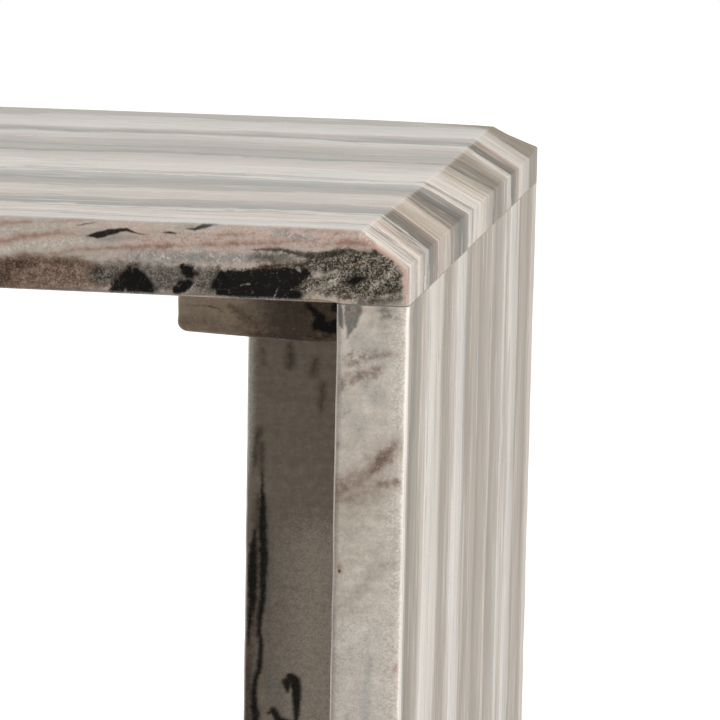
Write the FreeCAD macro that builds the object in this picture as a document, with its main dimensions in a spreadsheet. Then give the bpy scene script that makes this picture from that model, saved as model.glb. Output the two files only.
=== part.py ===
"""Accent table of bonded stone slabs, 30 mm thick.

The frame has its origin on the floor under the middle of the top: X runs along the width,
the front is at -Y and +Z is up. A chamfered top rests on two identical legs. A leg is a side
panel with a return square to it at mid-depth, and a bearer that lies flat over the return.
Steel pins in drilled sockets and thin resin beds hold the slabs together, and felt pads carry
the legs. Millimetres throughout.
"""
import FreeCAD, Part
import Sketcher
import os

DRIVING_SIZES = [
    ("table_width", 610.0, "overall width, along X"),
    ("table_depth", 457.0, "overall depth, along Y"),
    ("table_height", 559.0, "floor to the upper face of the top"),
    ("top_thickness", 30.0, "top slab"),
    ("chamfer_run", 20.5, "sloped end of the top, measured along X"),
    ("chamfer_drop", 14.0, "sloped end of the top, measured down"),
    ("edge_round", 3.5, "radius of the eased show edges"),
    ("underside_arris", 2.0, "bevel along the underside of the top between the legs"),
    ("panel_thickness", 30.0, "side panel"),
    ("foot_arris", 2.0, "bevel round the foot of a panel or return"),
    ("return_thickness", 30.0, "return slab"),
    ("return_reach", 79.0, "from the inner face of the panel to the free edge of the return"),
    ("bearer_thickness", 30.0, "bearer slab"),
    ("bearer_reach", 84.5, "from the inner face of the panel to the free end of the bearer"),
    ("bearer_setback", 80.0, "from the front and back of the top to the bearer"),
    ("bearer_ease", 5.0, "radius of the rounded lower edges of the bearer"),
    ("resin_bed", 0.5, "thickness of a resin bed between two slabs"),
    ("pin_diameter", 8.0, "steel pin"),
    ("pin_chamfer", 0.8, "chamfer at both ends of a pin"),
    ("pin_clearance", 0.5, "resin-filled room round a pin in its socket"),
    ("panel_pin_count", 2, "pins between a panel and the top"),
    ("panel_pin_inset", 75.0, "from an end of the panel to its first pin"),
    ("panel_pin_bite", 40.0, "depth of a pin in the top of the panel"),
    ("top_pin_bite", 18.0, "depth of a pin in the top slab"),
    ("return_pin_count", 2, "pins between a return and its panel"),
    ("return_pin_inset", 70.0, "from an end of the return to its first pin"),
    ("return_pin_bite", 35.0, "depth of a pin in the return"),
    ("side_pin_bite", 16.0, "depth of a return pin in the side panel"),
    ("stem_pin_bite", 40.0, "depth of the bearer pin in the return"),
    ("bearer_pin_bite", 18.0, "depth of the bearer pin in the bearer"),
    ("pad_diameter", 22.0, "felt pad"),
    ("pad_thickness", 3.0, "felt pad"),
    ("pad_inset", 45.0, "from an end of the panel to the middle of its pad"),
    ("return_pad_inset", 18.0, "from the free edge of the return to the middle of its pad"),
]

DERIVED_SIZES = [
    ("panel_height", "=table_height - top_thickness - resin_bed - pad_thickness"),
    ("panel_top", "=pad_thickness + panel_height"),
    ("inner_face", "=table_width / 2 - panel_thickness"),
    ("return_length", "=return_reach - resin_bed"),
    ("return_height", "=panel_height - bearer_thickness - resin_bed"),
    ("bearer_width", "=bearer_reach - resin_bed"),
    ("bearer_length", "=table_depth - 2 * bearer_setback"),
    ("socket_diameter", "=pin_diameter + 2 * pin_clearance"),
    ("panel_pin_pitch", "=(table_depth - 2 * panel_pin_inset) / (panel_pin_count - 1)"),
    ("return_pin_pitch", "=(return_height - 2 * return_pin_inset) / (return_pin_count - 1)"),
]

# The right leg stands as modelled; the left one is the same leg turned half round about Z.
LEGS = {"right": (1, FreeCAD.Rotation()), "left": (-1, FreeCAD.Rotation(0, 0, 1, 0))}
VERTICAL = FreeCAD.Vector(0, 0, 1)
ALONG_X = FreeCAD.Vector(1, 0, 0)
NEAR = 1e-6

doc = FreeCAD.newDocument("accent_table")
sheet = doc.addObject("Spreadsheet::Sheet", "Sizes")
sub_parts = []


def fill_sheet():
    """Write the driving sizes as plain numbers and the derived ones as formulas."""
    rows = [(alias, str(value), note) for alias, value, note in DRIVING_SIZES]
    rows += [(alias, formula, "derived") for alias, formula in DERIVED_SIZES]
    for row, (alias, content, note) in enumerate(rows, start=1):
        sheet.set(f"A{row}", note)
        sheet.set(f"B{row}", content)
        sheet.setAlias(f"B{row}", alias)
    doc.recompute()


def size(alias):
    """Value of one size in the sheet."""
    return float(getattr(sheet, alias))


def number_of(expression):
    """Number that an expression on the sheet comes to."""
    return float(sheet.evalExpression(expression))


def place(item, side, x, y, z):
    """Bind the place of a piece, given for the right leg, and turn it for the left leg."""
    sign, turn = LEGS[side]
    item.Placement = FreeCAD.Placement(FreeCAD.Vector(), turn)
    item.setExpression("Placement.Base.x", f"{sign} * ({x})")
    item.setExpression("Placement.Base.y", f"{sign} * ({y})")
    item.setExpression("Placement.Base.z", z)


def new_body(name):
    """Start a slab or resin piece."""
    body = doc.addObject("PartDesign::Body", name)
    body.Label = name
    sub_parts.append(body)
    return body


def sketch_on(body, role, name, offset=None):
    """Sketch on an origin plane of the body, moved along the plane's normal by an expression."""
    sketch = body.newObject("Sketcher::SketchObject", f"{body.Name}_{name}")
    planes = [plane for plane in body.Origin.OriginFeatures if plane.Role == role]
    sketch.AttachmentSupport = [(planes[0], "")]
    sketch.MapMode = "FlatFace"
    if offset:
        sketch.setExpression("AttachmentOffset.Base.z", offset)
    return sketch


def pin_point(sketch, geometry, end, x, y):
    """Fix a point of a sketch at two expressions, or on an axis where one of them is 0."""
    x_axis, y_axis, origin = -1, -2, (-1, 1)
    for kind, expression, axis in (("DistanceX", x, y_axis), ("DistanceY", y, x_axis)):
        if expression == "0":
            sketch.addConstraint(Sketcher.Constraint("PointOnObject", geometry, end, axis))
            continue
        rule = Sketcher.Constraint(kind, *origin, geometry, end, number_of(expression))
        index = sketch.addConstraint(rule)
        sketch.setExpression(f"Constraints[{index}]", expression)


def draw_outline(sketch, corners):
    """Draw a closed outline of straight lines through corners given as pairs of expressions."""
    points = [FreeCAD.Vector(number_of(x), number_of(y), 0) for x, y in corners]
    following = points[1:] + points[:1]
    lines = [
        sketch.addGeometry(Part.LineSegment(start, stop), False)
        for start, stop in zip(points, following)
    ]
    for line, after in zip(lines, lines[1:] + lines[:1]):
        sketch.addConstraint(Sketcher.Constraint("Coincident", line, 2, after, 1))
    for line, (x, y) in zip(lines, corners):
        pin_point(sketch, line, 1, x, y)


def draw_rectangle(sketch, width, height):
    """Draw a rectangle with one corner on the origin of the sketch."""
    draw_outline(sketch, [("0", "0"), (width, "0"), (width, height), ("0", height)])


def draw_circles(sketch, diameter, centres):
    """Draw equal circles at centres given as pairs of expressions."""
    for x, y in centres:
        middle = FreeCAD.Vector(number_of(x), number_of(y), 0)
        ring = sketch.addGeometry(Part.Circle(middle, VERTICAL, number_of(diameter) / 2), False)
        index = sketch.addConstraint(Sketcher.Constraint("Diameter", ring, number_of(diameter)))
        sketch.setExpression(f"Constraints[{index}]", diameter)
        pin_point(sketch, ring, 3, x, y)


def pad(body, sketch, length, reverse=False):
    """Add a sketch to a body along its normal, or against it."""
    feature = body.newObject("PartDesign::Pad", f"{sketch.Name}_pad")
    feature.Profile = sketch
    feature.Reversed = reverse
    feature.setExpression("Length", length)
    doc.recompute()


def pocket(body, sketch, length, reverse=False):
    """Cut a sketch into a body, against its normal or along it, and check that it cuts."""
    before = body.Shape.Volume
    feature = body.newObject("PartDesign::Pocket", f"{sketch.Name}_pocket")
    feature.Profile = sketch
    feature.Reversed = reverse
    feature.setExpression("Length", length)
    doc.recompute()
    if not body.Shape.Volume < before - NEAR:
        raise RuntimeError(f"{feature.Name} cuts nothing")


def dress_edges(body, kind, name, amount, keep):
    """Fillet or chamfer the edges of a body that pass a test, given their middle and direction."""
    base = body.Tip
    edges = []
    for number, edge in enumerate(base.Shape.Edges, start=1):
        middle = edge.valueAt((edge.FirstParameter + edge.LastParameter) / 2)
        if keep(middle, edge):
            edges.append(f"Edge{number}")
    feature = body.newObject(f"PartDesign::{kind}", f"{body.Name}_{name}")
    feature.Base = (base, edges)
    feature.setExpression("Radius" if kind == "Fillet" else "Size", amount)
    doc.recompute()


def is_along(edge, axis):
    """Whether an edge is a straight one along an axis."""
    return isinstance(edge.Curve, Part.Line) and edge.Curve.Direction.cross(axis).Length < NEAR


def run_of(count, inset, pitch):
    """Expressions of evenly spaced places, the first one an inset from the end."""
    return [f"{inset} + {step} * {pitch}" for step in range(int(size(count)))]


def make_top():
    """Top slab: a profile with sloped ends, eased front and back, and sockets under its ends."""
    top = new_body("top_slab")
    profile = sketch_on(top, "XZ_Plane", "profile")
    shoulder = "Sizes.top_thickness - Sizes.chamfer_drop"
    far_fold = "Sizes.table_width - Sizes.chamfer_run"
    draw_outline(profile, [
        ("0", "0"),
        ("Sizes.table_width", "0"),
        ("Sizes.table_width", shoulder),
        (far_fold, "Sizes.top_thickness"),
        ("Sizes.chamfer_run", "Sizes.top_thickness"),
        ("0", shoulder),
    ])
    pad(top, profile, "Sizes.table_depth", reverse=True)

    depth = size("table_depth")
    dress_edges(
        top, "Fillet", "eased_edges", "Sizes.edge_round",
        lambda middle, edge: min(middle.y, depth - middle.y) < NEAR < middle.z,
    )

    arris = sketch_on(top, "YZ_Plane", "arris", "Sizes.panel_thickness")
    draw_outline(arris, [("0", "0"), ("Sizes.underside_arris", "0"), ("0", "Sizes.underside_arris")])
    draw_outline(arris, [
        ("Sizes.table_depth", "0"),
        ("Sizes.table_depth", "Sizes.underside_arris"),
        ("Sizes.table_depth - Sizes.underside_arris", "0"),
    ])
    pocket(top, arris, "Sizes.table_width - 2 * Sizes.panel_thickness", reverse=True)

    sockets = sketch_on(top, "XY_Plane", "sockets")
    rows = run_of("panel_pin_count", "Sizes.panel_pin_inset", "Sizes.panel_pin_pitch")
    columns = ["Sizes.panel_thickness / 2", "Sizes.table_width - Sizes.panel_thickness / 2"]
    draw_circles(sockets, "Sizes.socket_diameter", [(x, y) for x in columns for y in rows])
    pocket(top, sockets, "Sizes.top_pin_bite", reverse=True)

    place(
        top, "right", "-Sizes.table_width / 2", "-Sizes.table_depth / 2",
        "Sizes.table_height - Sizes.top_thickness",
    )


def make_side_panel(side):
    """Side panel: full-depth slab with eased uprights, top sockets and sockets for the return."""
    panel = new_body(f"{side}_side_panel")
    plan = sketch_on(panel, "XY_Plane", "plan")
    draw_rectangle(plan, "Sizes.panel_thickness", "Sizes.table_depth")
    pad(panel, plan, "Sizes.panel_height")
    dress_edges(
        panel, "Fillet", "eased_uprights", "Sizes.edge_round",
        lambda middle, edge: is_along(edge, VERTICAL),
    )
    dress_edges(
        panel, "Chamfer", "foot_arris", "Sizes.foot_arris", lambda middle, edge: middle.z < NEAR
    )

    sockets = sketch_on(panel, "XY_Plane", "top_sockets", "Sizes.panel_height")
    rows = run_of("panel_pin_count", "Sizes.panel_pin_inset", "Sizes.panel_pin_pitch")
    draw_circles(sockets, "Sizes.socket_diameter", [("Sizes.panel_thickness / 2", y) for y in rows])
    pocket(panel, sockets, "Sizes.panel_pin_bite")

    side_sockets = sketch_on(panel, "YZ_Plane", "side_sockets")
    heights = run_of("return_pin_count", "Sizes.return_pin_inset", "Sizes.return_pin_pitch")
    draw_circles(side_sockets, "Sizes.socket_diameter", [("Sizes.table_depth / 2", z) for z in heights])
    pocket(panel, side_sockets, "Sizes.side_pin_bite", reverse=True)
    place(panel, side, "Sizes.inner_face", "-Sizes.table_depth / 2", "Sizes.pad_thickness")


def make_return(side):
    """Return: narrow upright slab square to the panel, with sockets in its end and its top."""
    slab = new_body(f"{side}_return")
    plan = sketch_on(slab, "XY_Plane", "plan")
    draw_rectangle(plan, "Sizes.return_length", "Sizes.return_thickness")
    pad(slab, plan, "Sizes.return_height")
    joined_end = size("return_length") - NEAR
    dress_edges(
        slab, "Fillet", "eased_uprights", "Sizes.edge_round",
        lambda middle, edge: is_along(edge, VERTICAL) and middle.x < NEAR,
    )
    dress_edges(
        slab, "Chamfer", "foot_arris", "Sizes.foot_arris",
        lambda middle, edge: middle.z < NEAR and middle.x < joined_end,
    )

    end_sockets = sketch_on(slab, "YZ_Plane", "end_sockets", "Sizes.return_length")
    heights = run_of("return_pin_count", "Sizes.return_pin_inset", "Sizes.return_pin_pitch")
    draw_circles(
        end_sockets, "Sizes.socket_diameter", [("Sizes.return_thickness / 2", z) for z in heights]
    )
    pocket(slab, end_sockets, "Sizes.return_pin_bite")

    top_socket = sketch_on(slab, "XY_Plane", "top_socket", "Sizes.return_height")
    middle_of_plan = [("Sizes.return_length / 2", "Sizes.return_thickness / 2")]
    draw_circles(top_socket, "Sizes.socket_diameter", middle_of_plan)
    pocket(slab, top_socket, "Sizes.stem_pin_bite")
    place(
        slab, side, "Sizes.inner_face - Sizes.return_reach", "-Sizes.return_thickness / 2",
        "Sizes.pad_thickness",
    )


def make_bearer(side):
    """Bearer: flat slab under the top with rounded lower edges and a socket over the return."""
    bearer = new_body(f"{side}_bearer")
    plan = sketch_on(bearer, "XY_Plane", "plan")
    draw_rectangle(plan, "Sizes.bearer_width", "Sizes.bearer_length")
    pad(bearer, plan, "Sizes.bearer_thickness")
    joined_end = size("bearer_width") - NEAR

    def is_free(middle, edge):
        """Lower edges and free corners, but not the end that meets the panel."""
        is_lower = middle.z < NEAR and middle.x < joined_end
        return is_lower or (is_along(edge, VERTICAL) and middle.x < NEAR)

    dress_edges(bearer, "Fillet", "rounded_edges", "Sizes.bearer_ease", is_free)

    socket = sketch_on(bearer, "XY_Plane", "socket")
    pin_x = "Sizes.bearer_reach - Sizes.return_reach + Sizes.return_length / 2"
    draw_circles(socket, "Sizes.socket_diameter", [(pin_x, "Sizes.bearer_length / 2")])
    pocket(bearer, socket, "Sizes.bearer_pin_bite", reverse=True)
    place(
        bearer, side, "Sizes.inner_face - Sizes.bearer_reach", "-Sizes.bearer_length / 2",
        "Sizes.panel_top - Sizes.bearer_thickness",
    )


def let_pins_through(bed, role, centres):
    """Open a resin bed where pins cross it, as wide as their sockets."""
    openings = sketch_on(bed, role, "pin_openings")
    draw_circles(openings, "Sizes.socket_diameter", centres)
    pocket(bed, openings, "Sizes.resin_bed", reverse=True)


def make_panel_resin(side):
    """Resin between a side panel and the top, flush with their eased edges."""
    bed = new_body(f"{side}_panel_resin")
    plan = sketch_on(bed, "XY_Plane", "plan")
    draw_rectangle(plan, "Sizes.panel_thickness", "Sizes.table_depth")
    pad(bed, plan, "Sizes.resin_bed")
    dress_edges(
        bed, "Fillet", "flush_edges", "Sizes.edge_round",
        lambda middle, edge: is_along(edge, VERTICAL),
    )
    rows = run_of("panel_pin_count", "Sizes.panel_pin_inset", "Sizes.panel_pin_pitch")
    centres = [("Sizes.panel_thickness / 2", y) for y in rows]
    let_pins_through(bed, "XY_Plane", centres)
    place(bed, side, "Sizes.inner_face", "-Sizes.table_depth / 2", "Sizes.panel_top")


def make_return_resin(side):
    """Resin between the end of a return and the inner face of its panel."""
    bed = new_body(f"{side}_return_resin")
    face = sketch_on(bed, "YZ_Plane", "face")
    draw_rectangle(face, "Sizes.return_thickness", "Sizes.return_height")
    pad(bed, face, "Sizes.resin_bed")
    heights = run_of("return_pin_count", "Sizes.return_pin_inset", "Sizes.return_pin_pitch")
    centres = [("Sizes.return_thickness / 2", z) for z in heights]
    let_pins_through(bed, "YZ_Plane", centres)
    place(
        bed, side, "Sizes.inner_face - Sizes.resin_bed", "-Sizes.return_thickness / 2",
        "Sizes.pad_thickness",
    )


def make_seat_resin(side):
    """Resin between the top of a return and the bearer that lies on it."""
    bed = new_body(f"{side}_seat_resin")
    plan = sketch_on(bed, "XY_Plane", "plan")
    draw_rectangle(plan, "Sizes.return_length", "Sizes.return_thickness")
    pad(bed, plan, "Sizes.resin_bed")
    dress_edges(
        bed, "Fillet", "flush_edges", "Sizes.edge_round",
        lambda middle, edge: is_along(edge, VERTICAL) and middle.x < NEAR,
    )
    centres = [("Sizes.return_length / 2", "Sizes.return_thickness / 2")]
    let_pins_through(bed, "XY_Plane", centres)
    place(
        bed, side, "Sizes.inner_face - Sizes.return_reach", "-Sizes.return_thickness / 2",
        "Sizes.pad_thickness + Sizes.return_height",
    )


def make_bearer_resin(side):
    """Resin over a bearer and down its joined end, one bed of L section."""
    bed = new_body(f"{side}_bearer_resin")
    section = sketch_on(bed, "XZ_Plane", "section")
    upper = "Sizes.bearer_thickness + Sizes.resin_bed"
    draw_outline(section, [
        ("Sizes.bearer_width", "0"),
        ("Sizes.bearer_reach", "0"),
        ("Sizes.bearer_reach", upper),
        ("0", upper),
        ("0", "Sizes.bearer_thickness"),
        ("Sizes.bearer_width", "Sizes.bearer_thickness"),
    ])
    pad(bed, section, "Sizes.bearer_length", reverse=True)

    def is_flush(middle, edge):
        """Edges that follow the rounded edges of the bearer."""
        at_free_corner = is_along(edge, VERTICAL) and middle.x < NEAR
        at_lower_edge = is_along(edge, ALONG_X) and middle.z < NEAR
        return at_free_corner or at_lower_edge

    dress_edges(bed, "Fillet", "flush_edges", "Sizes.bearer_ease", is_flush)
    place(
        bed, side, "Sizes.inner_face - Sizes.bearer_reach", "-Sizes.bearer_length / 2",
        "Sizes.panel_top - Sizes.bearer_thickness",
    )


def make_group(side, name, pieces):
    """Gather equal loose pieces of the right leg, and turn the group for the left leg."""
    group = doc.addObject("Part::Compound", f"{side}_{name}")
    group.Label = f"{side}_{name}"
    group.Links = pieces
    place(group, side, "0", "0", "0")
    sub_parts.append(group)


def make_cylinder(name, diameter, length, start, axis=VERTICAL):
    """Cylinder from a start point given as expressions, along an axis."""
    rod = doc.addObject("Part::Cylinder", name)
    rod.setExpression("Radius", f"{diameter} / 2")
    rod.setExpression("Height", length)
    rod.Placement = FreeCAD.Placement(FreeCAD.Vector(), FreeCAD.Rotation(VERTICAL, axis))
    for letter, expression in zip("xyz", start):
        rod.setExpression(f"Placement.Base.{letter}", expression)
    return rod


def make_pin(name, length, start, axis=VERTICAL):
    """Steel pin with both ends chamfered."""
    rod = make_cylinder(f"{name}_rod", "Sizes.pin_diameter", length, start, axis)
    doc.recompute()
    chamfer = size("pin_chamfer")
    rims = [
        number for number, edge in enumerate(rod.Shape.Edges, start=1)
        if isinstance(edge.Curve, Part.Circle)
    ]
    pin = doc.addObject("Part::Chamfer", name)
    pin.Base = rod
    pin.Edges = [(rim, chamfer, chamfer) for rim in rims]
    return pin


def make_panel_pins(side):
    """Upright pins between a side panel and the top."""
    length = "Sizes.panel_pin_bite + Sizes.resin_bed + Sizes.top_pin_bite"
    x = "Sizes.inner_face + Sizes.panel_thickness / 2"
    z = "Sizes.panel_top - Sizes.panel_pin_bite"
    rows = run_of("panel_pin_count", "Sizes.panel_pin_inset", "Sizes.panel_pin_pitch")
    pins = [
        make_pin(f"{side}_panel_pin_{number}", length, (x, f"{y} - Sizes.table_depth / 2", z))
        for number, y in enumerate(rows)
    ]
    make_group(side, "panel_pins", pins)


def make_return_pins(side):
    """Level pins between a return and its side panel."""
    length = "Sizes.return_pin_bite + Sizes.resin_bed + Sizes.side_pin_bite"
    x = "Sizes.inner_face - Sizes.resin_bed - Sizes.return_pin_bite"
    heights = run_of("return_pin_count", "Sizes.return_pin_inset", "Sizes.return_pin_pitch")
    pins = [
        make_pin(f"{side}_return_pin_{number}", length, (x, "0", f"Sizes.pad_thickness + {z}"), ALONG_X)
        for number, z in enumerate(heights)
    ]
    make_group(side, "return_pins", pins)


def make_bearer_pin(side):
    """Upright pin between a return and its bearer."""
    length = "Sizes.stem_pin_bite + Sizes.resin_bed + Sizes.bearer_pin_bite"
    x = "Sizes.inner_face - Sizes.return_reach + Sizes.return_length / 2"
    z = "Sizes.pad_thickness + Sizes.return_height - Sizes.stem_pin_bite"
    make_group(side, "bearer_pin", [make_pin(f"{side}_bearer_pin_rod", length, (x, "0", z))])


def make_floor_pads(side):
    """Felt pads: two under a side panel and one under the free edge of its return."""
    panel_middle = "Sizes.inner_face + Sizes.panel_thickness / 2"
    return_middle = "Sizes.inner_face - Sizes.return_reach + Sizes.return_pad_inset"
    places = [
        (panel_middle, "Sizes.pad_inset - Sizes.table_depth / 2"),
        (panel_middle, "Sizes.table_depth / 2 - Sizes.pad_inset"),
        (return_middle, "0"),
    ]
    pads = [
        make_cylinder(
            f"{side}_floor_pad_{number}", "Sizes.pad_diameter", "Sizes.pad_thickness", (x, y, "0")
        )
        for number, (x, y) in enumerate(places)
    ]
    make_group(side, "floor_pads", pads)


def check_and_write():
    """Stop if a piece failed, and otherwise write one STEP file for each piece."""
    doc.recompute()
    failed = [item.Name for item in doc.Objects if {"Invalid", "Error"} & set(item.State)]
    if failed:
        raise RuntimeError(f"failed to build: {failed}")
    for piece in sub_parts:
        if piece.Shape.isNull() or not piece.Shape.isValid():
            raise RuntimeError(f"bad shape: {piece.Label}")
    os.makedirs("parts", exist_ok=True)
    for piece in sub_parts:
        piece.Shape.exportStep(f"parts/{piece.Label}.step")
        solids = len(piece.Shape.Solids)
        print(f"{piece.Label}: {solids} solid(s), {piece.Shape.Volume:.1f} mm3")


fill_sheet()
make_top()
for leg in LEGS:
    make_side_panel(leg)
    make_return(leg)
    make_bearer(leg)
    make_panel_resin(leg)
    make_return_resin(leg)
    make_seat_resin(leg)
    make_bearer_resin(leg)
    make_panel_pins(leg)
    make_return_pins(leg)
    make_bearer_pin(leg)
    make_floor_pads(leg)
check_and_write()
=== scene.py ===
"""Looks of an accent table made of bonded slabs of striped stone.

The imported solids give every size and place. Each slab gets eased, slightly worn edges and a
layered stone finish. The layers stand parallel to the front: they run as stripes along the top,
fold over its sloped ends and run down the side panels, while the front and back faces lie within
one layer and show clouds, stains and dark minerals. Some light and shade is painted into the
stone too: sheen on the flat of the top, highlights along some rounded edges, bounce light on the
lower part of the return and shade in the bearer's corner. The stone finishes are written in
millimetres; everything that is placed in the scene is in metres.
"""

import logging
import math
from dataclasses import dataclass, field, replace
from enum import Enum

import bmesh
import bpy
from mathutils import Matrix, Vector


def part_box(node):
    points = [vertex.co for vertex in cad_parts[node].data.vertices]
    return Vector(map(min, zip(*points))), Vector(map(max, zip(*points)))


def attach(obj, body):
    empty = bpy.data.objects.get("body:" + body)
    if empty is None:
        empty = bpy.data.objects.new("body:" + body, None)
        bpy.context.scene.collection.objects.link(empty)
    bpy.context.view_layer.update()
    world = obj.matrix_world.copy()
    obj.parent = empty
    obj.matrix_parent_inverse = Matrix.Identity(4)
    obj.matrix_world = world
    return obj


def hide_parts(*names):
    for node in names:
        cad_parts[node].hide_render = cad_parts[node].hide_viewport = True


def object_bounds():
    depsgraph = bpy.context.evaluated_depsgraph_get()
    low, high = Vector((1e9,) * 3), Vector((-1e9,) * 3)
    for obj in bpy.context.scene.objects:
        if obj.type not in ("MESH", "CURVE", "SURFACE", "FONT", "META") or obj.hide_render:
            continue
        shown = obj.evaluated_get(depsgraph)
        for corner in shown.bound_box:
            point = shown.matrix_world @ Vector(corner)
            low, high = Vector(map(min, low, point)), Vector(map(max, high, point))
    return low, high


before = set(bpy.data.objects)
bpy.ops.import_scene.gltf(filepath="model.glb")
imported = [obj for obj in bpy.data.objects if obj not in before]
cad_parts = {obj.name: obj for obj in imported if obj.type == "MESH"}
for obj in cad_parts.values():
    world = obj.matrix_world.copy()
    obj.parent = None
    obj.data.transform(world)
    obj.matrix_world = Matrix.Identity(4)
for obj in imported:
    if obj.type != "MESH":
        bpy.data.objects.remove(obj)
CAD_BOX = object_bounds()

BODY = "root"
MM = 0.001
log = logging.getLogger("accent_table")

Socket = bpy.types.NodeSocket
Amount = float | Socket
Amounts = dict[str | int, object] | tuple[object, ...]
Axes = tuple[Socket, ...]
Point = tuple[float, float]
Box = tuple[Vector, Vector]


class Tone(Enum):
    """Colours of the stone, the resin and the fittings, as 8-bit sRGB."""

    # Pearl is used only for painted highlights.
    PEARL = (238, 232, 225)
    CHALK = (220, 214, 206)
    CREAM = (210, 199, 187)
    ROSE = (200, 180, 168)
    BLUSH = (170, 122, 106)
    BEIGE = (184, 173, 160)
    MIST = (178, 173, 165)
    HAZE = (132, 133, 129)
    TAUPE = (158, 148, 135)
    ASH = (134, 127, 116)
    SLATE = (112, 108, 99)
    LEAD = (56, 53, 48)
    SOOT = (12, 11, 10)
    RUST = (140, 98, 82)
    UMBER = (66, 50, 42)
    CLAY = (124, 99, 84)
    OLIVE = (106, 100, 82)
    OCHRE = (178, 148, 95)
    SAND = (200, 182, 160)
    PETAL = (255, 242, 233)
    STEEL = (176, 176, 174)
    FELT = (92, 88, 82)
    FLOOR = (178, 178, 177)

    def linear(self) -> tuple[float, float, float, float]:
        """Turn the tone into scene-linear colour.

        Returns:
            Its RGBA.
        """
        channels = (value / 255 for value in self.value)
        red, green, blue = (
            value / 12.92 if value <= 0.04045 else ((value + 0.055) / 1.055) ** 2.4
            for value in channels
        )
        return red, green, blue, 1.0


@dataclass(frozen=True)
class MineralLook:
    """How one kind of mark shows in a face; most are minerals, some are painted light and shade.

    Args:
        grains: tones of its crystals, from the darkest to the lightest.
        edge: width over which it thins out.
        ragged: how far its outline is broken up.
        strength: how well it covers the stone.
    """

    grains: tuple[Tone, ...]
    edge: float
    ragged: float
    strength: float


class Mineral(Enum):
    """Kinds of mineral, and of painted light and shade, in the front faces, in the order in which they
    cover each other.
    """

    PINK = MineralLook((Tone.BLUSH, Tone.ROSE, Tone.BEIGE), 5.0, 2.0, 0.95)
    PALE = MineralLook((Tone.SLATE, Tone.HAZE, Tone.HAZE, Tone.MIST, Tone.CHALK), 4.0, 2.5, 0.75)
    BROWN = MineralLook((Tone.UMBER, Tone.CLAY, Tone.TAUPE), 4.0, 1.5, 0.97)
    GREY = MineralLook((Tone.LEAD, Tone.LEAD, Tone.SLATE, Tone.ASH), 4.0, 2.0, 0.9)
    BURNT = MineralLook((Tone.SOOT, Tone.UMBER, Tone.CLAY), 5.0, 1.5, 0.7)
    BLUE = MineralLook((Tone.SLATE, Tone.HAZE, Tone.HAZE), 3.0, 0.8, 0.6)
    COOL = MineralLook((Tone.MIST, Tone.CHALK, Tone.CHALK), 9.0, 2.0, 0.35)
    # Painted highlight along the return's rounded left edge.
    PAINTED_EDGE_HIGHLIGHT = MineralLook((Tone.PEARL, Tone.PEARL), 6.0, 0.6, 1.0)
    MISTY = MineralLook((Tone.HAZE, Tone.MIST, Tone.MIST), 6.0, 3.0, 0.7)
    # Milky patches in the top's front, and also a painted highlight along the panel's right front edge.
    MILK_AND_PAINTED_HIGHLIGHT = MineralLook((Tone.BEIGE, Tone.CREAM, Tone.CHALK), 7.0, 2.0, 0.8)
    # Painted bounce light from the floor.
    PAINTED_BOUNCE_LIGHT = MineralLook((Tone.BEIGE, Tone.CREAM, Tone.CHALK), 30.0, 6.0, 0.6)
    SMOKE = MineralLook((Tone.CLAY, Tone.CLAY, Tone.TAUPE), 8.0, 3.5, 0.68)
    # Painted shade: the bearer darkens towards its corner by the panel.
    PAINTED_CORNER_SHADE = MineralLook((Tone.SOOT, Tone.UMBER, Tone.LEAD, Tone.CLAY), 26.0, 5.0, 0.85)
    WEDGE = MineralLook((Tone.SLATE, Tone.SLATE, Tone.HAZE), 1.4, 0.5, 0.95)
    MOSS = MineralLook((Tone.OLIVE, Tone.BEIGE), 6.0, 3.0, 0.5)
    SPECKLED = MineralLook(
        (Tone.SOOT, Tone.SOOT, Tone.LEAD, Tone.LEAD, Tone.OLIVE, Tone.ASH, Tone.TAUPE, Tone.BEIGE),
        2.5, 1.5, 0.97,
    )
    TAN = MineralLook((Tone.OLIVE, Tone.TAUPE, Tone.CREAM), 3.0, 1.5, 0.75)
    STAIN = MineralLook((Tone.UMBER, Tone.CLAY, Tone.TAUPE), 3.5, 1.4, 0.8)
    RED = MineralLook((Tone.UMBER, Tone.RUST, Tone.BLUSH), 2.6, 1.5, 0.72)
    BLACK = MineralLook((*(Tone.SOOT,) * 6, Tone.LEAD, Tone.SLATE), 2.0, 0.9, 0.99)
    FRINGE = MineralLook((Tone.SOOT, Tone.UMBER, Tone.CLAY), 1.8, 1.0, 0.9)
    VEIN = MineralLook((Tone.SOOT, Tone.LEAD, Tone.OLIVE), 1.4, 0.7, 0.9)
    SEAM = MineralLook((Tone.SOOT, Tone.SOOT, Tone.LEAD), 2.4, 0.6, 0.97)
    LENS = MineralLook((Tone.SOOT, Tone.SOOT, Tone.LEAD), 1.0, 0.12, 0.97)
    GOLD = MineralLook((Tone.OCHRE, Tone.OCHRE, Tone.CREAM), 2.0, 0.8, 0.6)
    # Light flecks, and also a painted highlight along the top's lower front edge.
    FLECK_AND_PAINTED_HIGHLIGHT = MineralLook((Tone.TAUPE, Tone.CHALK), 1.2, 0.6, 0.5)


@dataclass(frozen=True)
class Drift:
    """A mineral that drifts through the faces outside the photograph's view.

    Args:
        mineral: the mineral.
        wave: size of its patches.
        least: level of the noise from which it shows.
    """

    mineral: Mineral
    wave: float
    least: float


@dataclass(frozen=True)
class Streak:
    """Noise drawn out along the layers.

    Args:
        length: length of a streak.
        width: its width.
        seed: picks the pattern.
        detail: octaves.
        roughness: weight of the octaves.
    """

    length: float
    width: float
    seed: float
    detail: float = 4.0
    roughness: float = 0.65


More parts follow.
